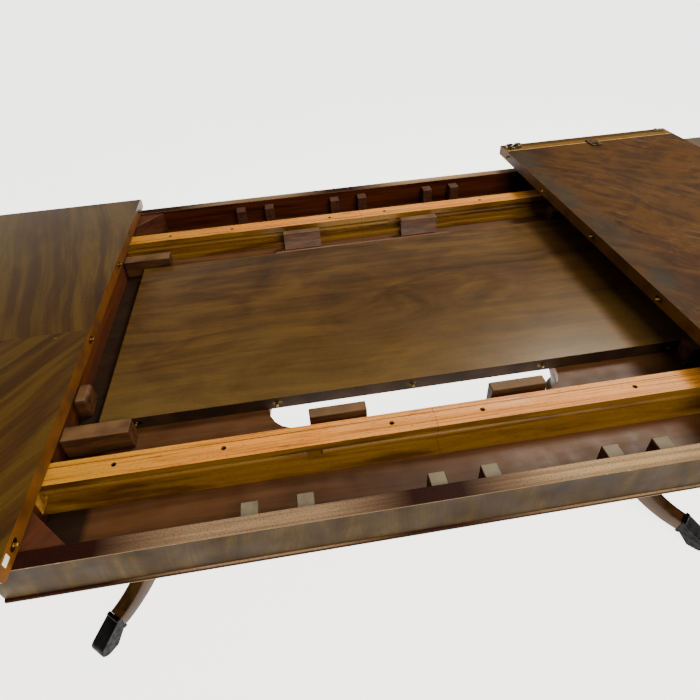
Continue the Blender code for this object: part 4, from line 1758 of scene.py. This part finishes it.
@dataclass
class Pedestal:
    """A turned column on three sabre legs with reeded backs and cast caps.

    Args:
        side: -1 for the left pedestal, 1 for the right one.
        segments: sides of the turned column.
        leg_steps: sections along a leg.
        leg_half_width: half the width of a leg.
        leg_depths: depth of a leg at its root and toe.
        reed: radius of the reed along each back arris.
        chamfer: width of the chamfer along each belly arris.
        path: the leg's centre line as a cubic curve, in radius and height.
        spread: angle of the outer legs from the table's length, in degrees.
    """

    side: int
    segments: int = 72
    leg_steps: int = 44
    leg_half_width: float = 0.019
    leg_depths: Flat = (0.080, 0.036)
    reed: float = 0.0026
    chamfer: float = 3 * MM
    path: tuple[Flat, ...] = ((0.046, 0.262), (0.150, 0.262), (0.215, 0.070), (0.375, 0.052))
    spread: float = 50.0

    @property
    def label(self) -> str:
        """The pedestal's side in words."""
        return "left" if self.side < 0 else "right"

    def foot(self) -> Vector:
        """The column's axis on the floor."""
        low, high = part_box(f"column_{self.label}")
        return Vector(((low.x + high.x) / 2, (low.y + high.y) / 2, 0.0))

    @staticmethod
    def eased(r0: float, z0: float, r1: float, z1: float, steps: int = 14) -> list[Flat]:
        """An S-shaped run of the turned profile from one radius and height to just before the next."""
        shares = [i / steps for i in range(steps)]
        return [(r0 + (r1 - r0) * (1 - math.cos(math.pi * t)) / 2, z0 + (z1 - z0) * t) for t in shares]

    @staticmethod
    def ring(radius: float, z0: float, z1: float, stand: float, steps: int = 12) -> list[Flat]:
        """A half-round ring that stands out of the turned profile."""
        shares = [i / steps for i in range(steps + 1)]
        return [(radius + stand * math.sin(math.pi * t), z0 + (z1 - z0) * t) for t in shares]

    def profile(self) -> list[Flat]:
        """The column's turned outline from its drop finial up to the block under the case.

        Returns:
            Radius and height of each point, from the bottom up.
        """
        top = top_of(f"column_{self.label}")
        points = [(0.004, 0.1675), (0.008, 0.1690)] + self.ring(0.010, 0.170, 0.196, 0.014)
        points += [(0.012, 0.199), (0.014, 0.202), (0.030, 0.2042), (0.047, 0.2078), (0.0525, 0.2120)]
        points += [(0.054, 0.217)]
        points += [(0.054, 0.311), (0.0525, 0.3132)] + self.ring(0.050, 0.316, 0.330, 0.008)
        points += self.eased(0.046, 0.334, 0.064, 0.410) + self.eased(0.064, 0.410, 0.036, 0.540)
        points += self.ring(0.036, 0.546, 0.560, 0.009) + self.eased(0.040, 0.564, 0.066, 0.606)
        return points + [(0.066, 0.606), (0.0692, 0.6085), (0.070, 0.611), (0.070, top)]

    def leg_section(self, share: float) -> list[Point]:
        """A leg's section with a chamfered belly and two reeds along its back.

        Args:
            share: how far along the leg, from zero at the column.

        Returns:
            The section's points, with X outward from the column.
        """
        p0, p1, p2, p3 = (Vector(p) for p in self.path)
        t, u = share, 1 - share
        centre = u**3 * p0 + 3 * u * u * t * p1 + 3 * u * t * t * p2 + t**3 * p3
        tangent = (u * u * (p1 - p0) + 2 * u * t * (p2 - p1) + t * t * (p3 - p2)).normalized()
        normal = Vector((-tangent.y, tangent.x))
        a, r = self.leg_half_width, self.reed
        b = (self.leg_depths[0] + (self.leg_depths[1] - self.leg_depths[0]) * t) / 2
        c, reed = self.chamfer, arc(a - r, b - r, r, 0, 200, 7)
        outline = [(-a, c - b), (c / 3 - a, c / 3 - b), (c - a, -b)]
        outline += [(a - c, -b), (a - c / 3, c / 3 - b), (a, c - b)]
        outline += reed + [(-x, z) for x, z in reversed(reed)]
        return [((centre + normal * z).x, y, (centre + normal * z).y) for y, z in outline]

    def build_leg(self, way: str, turn: float) -> None:
        """Build one leg and its cap.

        Args:
            way: near, far or inner.
            turn: the leg's heading, in radians.
        """
        node = f"leg_{self.label}_{way}"
        sections = [self.leg_section(i / self.leg_steps) for i in range(self.leg_steps + 1)]
        place = Matrix.Translation(self.foot()) @ Matrix.Rotation(turn, 4, "Z")
        leg = add_piece(node + "_carved", skin(sections), TURNED_MAHOGANY, "case", place)
        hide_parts(node)
        refine(f"leg_cap_{self.label}_{way}", BLACK_IRON, 0.6)

    def build(self) -> None:
        """Build the block, the column and the three legs."""
        refine(f"pedestal_block_{self.label}", BLOCK_WOOD, 1.0)
        node = f"column_{self.label}"
        column = add_piece(node + "_turned", turned(self.profile(), self.segments), TURNED_MAHOGANY, "case",
                           Matrix.Translation(self.foot()))
        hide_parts(node)
        outward, spread = (0.0 if self.side > 0 else math.pi), math.radians(self.spread)
        self.build_leg("near", outward - self.side * spread)
        self.build_leg("far", outward + self.side * spread)
        self.build_leg("inner", outward + math.pi)


# ---- studio -------------------------------------------------------------------------------------


@dataclass(frozen=True)
class SoftBox:
    """A rectangular soft light.

    Args:
        name: its name.
        at: its place.
        aim: the point that it faces.
        size: its width and height.
        power: its power in watts.
        colour: its sRGB colour.
    """

    name: str
    at: Point
    aim: Point
    size: Flat
    power: float
    colour: str

    def build(self) -> None:
        """Build the light."""
        light = bpy.data.lights.new(self.name, "AREA")
        light.shape = "RECTANGLE"
        light.size, light.size_y = self.size
        light.energy = self.power
        light.color = linear(self.colour)[:3]
        holder = bpy.data.objects.new(self.name, light)
        holder.location = self.at
        holder.rotation_mode = "QUATERNION"
        holder.rotation_quaternion = (Vector(self.at) - Vector(self.aim)).to_track_quat("Z", "Y")
        bpy.context.scene.collection.objects.link(holder)


@dataclass
class Studio:
    """Pale floor, soft lights and the camera.

    Args:
        camera_at: the camera's place.
        azimuth: the way that it looks, from +Y towards +X, in degrees.
        pitch: how far it looks down, in degrees.
        roll: its tilt, in degrees.
        lens_mm: its focal length on a 36 mm sensor.
        ceiling: brightness of the surround overhead and behind the viewer.
        backdrop: brightness of the surround low down beyond the table.
        horizon: heights of the direction between which the backdrop comes in.
        far_side: how far a direction turns from the viewer's side to the far side as it does.
        floor_half: half the side of the floor.
        lights: the key light from behind on the right, and the fill from the viewer's side.
    """

    camera_at: Point = (-0.1832, -0.9255, 1.3576)
    azimuth: float = 5.746
    pitch: float = 40.344
    roll: float = -4.107
    lens_mm: float = 26.70
    ceiling: float = 0.17
    backdrop: float = 0.75
    horizon: Flat = (0.56, 0.30)
    far_side: Flat = (-0.10, 0.50)
    floor_half: float = 30.0
    lights: tuple[SoftBox, ...] = (
        SoftBox("key_softbox", (1.85, 1.2, 3.4), (0.0, 0.0, 0.72), (0.8, 0.8), 112.0, "#fff6e6"),
        SoftBox("fill_softbox", (0.7, -2.4, 2.6), (-0.2, 0.0, 0.70), (1.6, 1.3), 82.0, "#fff2de"))

    def build_camera(self) -> None:
        """Build the camera and make it the scene's."""
        a, p, r = (math.radians(v) for v in (self.azimuth, self.pitch, self.roll))
        look = Vector((math.sin(a) * math.cos(p), math.cos(a) * math.cos(p), -math.sin(p)))
        level = Vector((math.cos(a), -math.sin(a), 0))
        above = level.cross(look)
        right, up = level * math.cos(r) + above * math.sin(r), above * math.cos(r) - level * math.sin(r)
        camera = bpy.data.cameras.new("studio_camera")
        camera.lens = self.lens_mm
        camera.sensor_width = 36.0
        camera.clip_start = 0.02
        holder = bpy.data.objects.new("studio_camera", camera)
        holder.matrix_world = axes(right, up, -look, Vector(self.camera_at))
        bpy.context.scene.collection.objects.link(holder)
        bpy.context.scene.camera = holder

    def build_world(self) -> None:
        """Build the surround: a pale backdrop low beyond the table that fades to a dim ceiling."""
        world = bpy.data.worlds.new("studio_surround")
        bpy.context.scene.world = world
        world.use_nodes = True
        tree = world.node_tree
        low_down = add_node(tree, "MapRange", coordinate(tree, Reading.DIRECTION, Axis.Z), *self.horizon)
        beyond = add_node(tree, "MapRange", coordinate(tree, Reading.DIRECTION, Axis.Y), *self.far_side)
        share = add_node(tree, "Math", low_down, beyond, operation="MULTIPLY")
        strength = add_node(tree, "MapRange", share, 0.0, 1.0, self.ceiling, self.backdrop)
        fill_inputs(tree, tree.nodes["Background"], {"Color": "#fff3df", "Strength": strength})

    def build_floor(self) -> None:
        """Build the floor."""
        shape = bmesh.new()
        bmesh.ops.create_grid(shape, x_segments=8, y_segments=8, size=self.floor_half)
        mesh = bpy.data.meshes.new("studio_floor")
        shape.to_mesh(mesh)
        shape.free()
        mesh.materials.append(StudioPaper("paper_backdrop_seamless").material())
        floor = bpy.data.objects.new("studio_floor", mesh)
        bpy.context.scene.collection.objects.link(floor)

    def build(self) -> None:
        """Build the whole studio."""
        self.build_camera()
        self.build_world()
        self.build_floor()
        for light in self.lights:
            light.build()


def main() -> None:
    """Build the studio, then the table from its boards down to its feet."""
    logging.basicConfig(level=logging.INFO, format="%(message)s")
    Studio().build()
    for side in (-1, 1):
        HalfTop(side).build()
    Leaf("stored_leaf", STORED_LEAF_VENEER, ALONG, -ACROSS).build()
    SpareLeaf("spare_leaf", SPARE_LEAF_UNDERSIDE, ACROSS, -ALONG).build()
    Case().build()
    for side in (-1, 1):
        Pedestal(side).build()


if __name__ == "__main__":
    main()
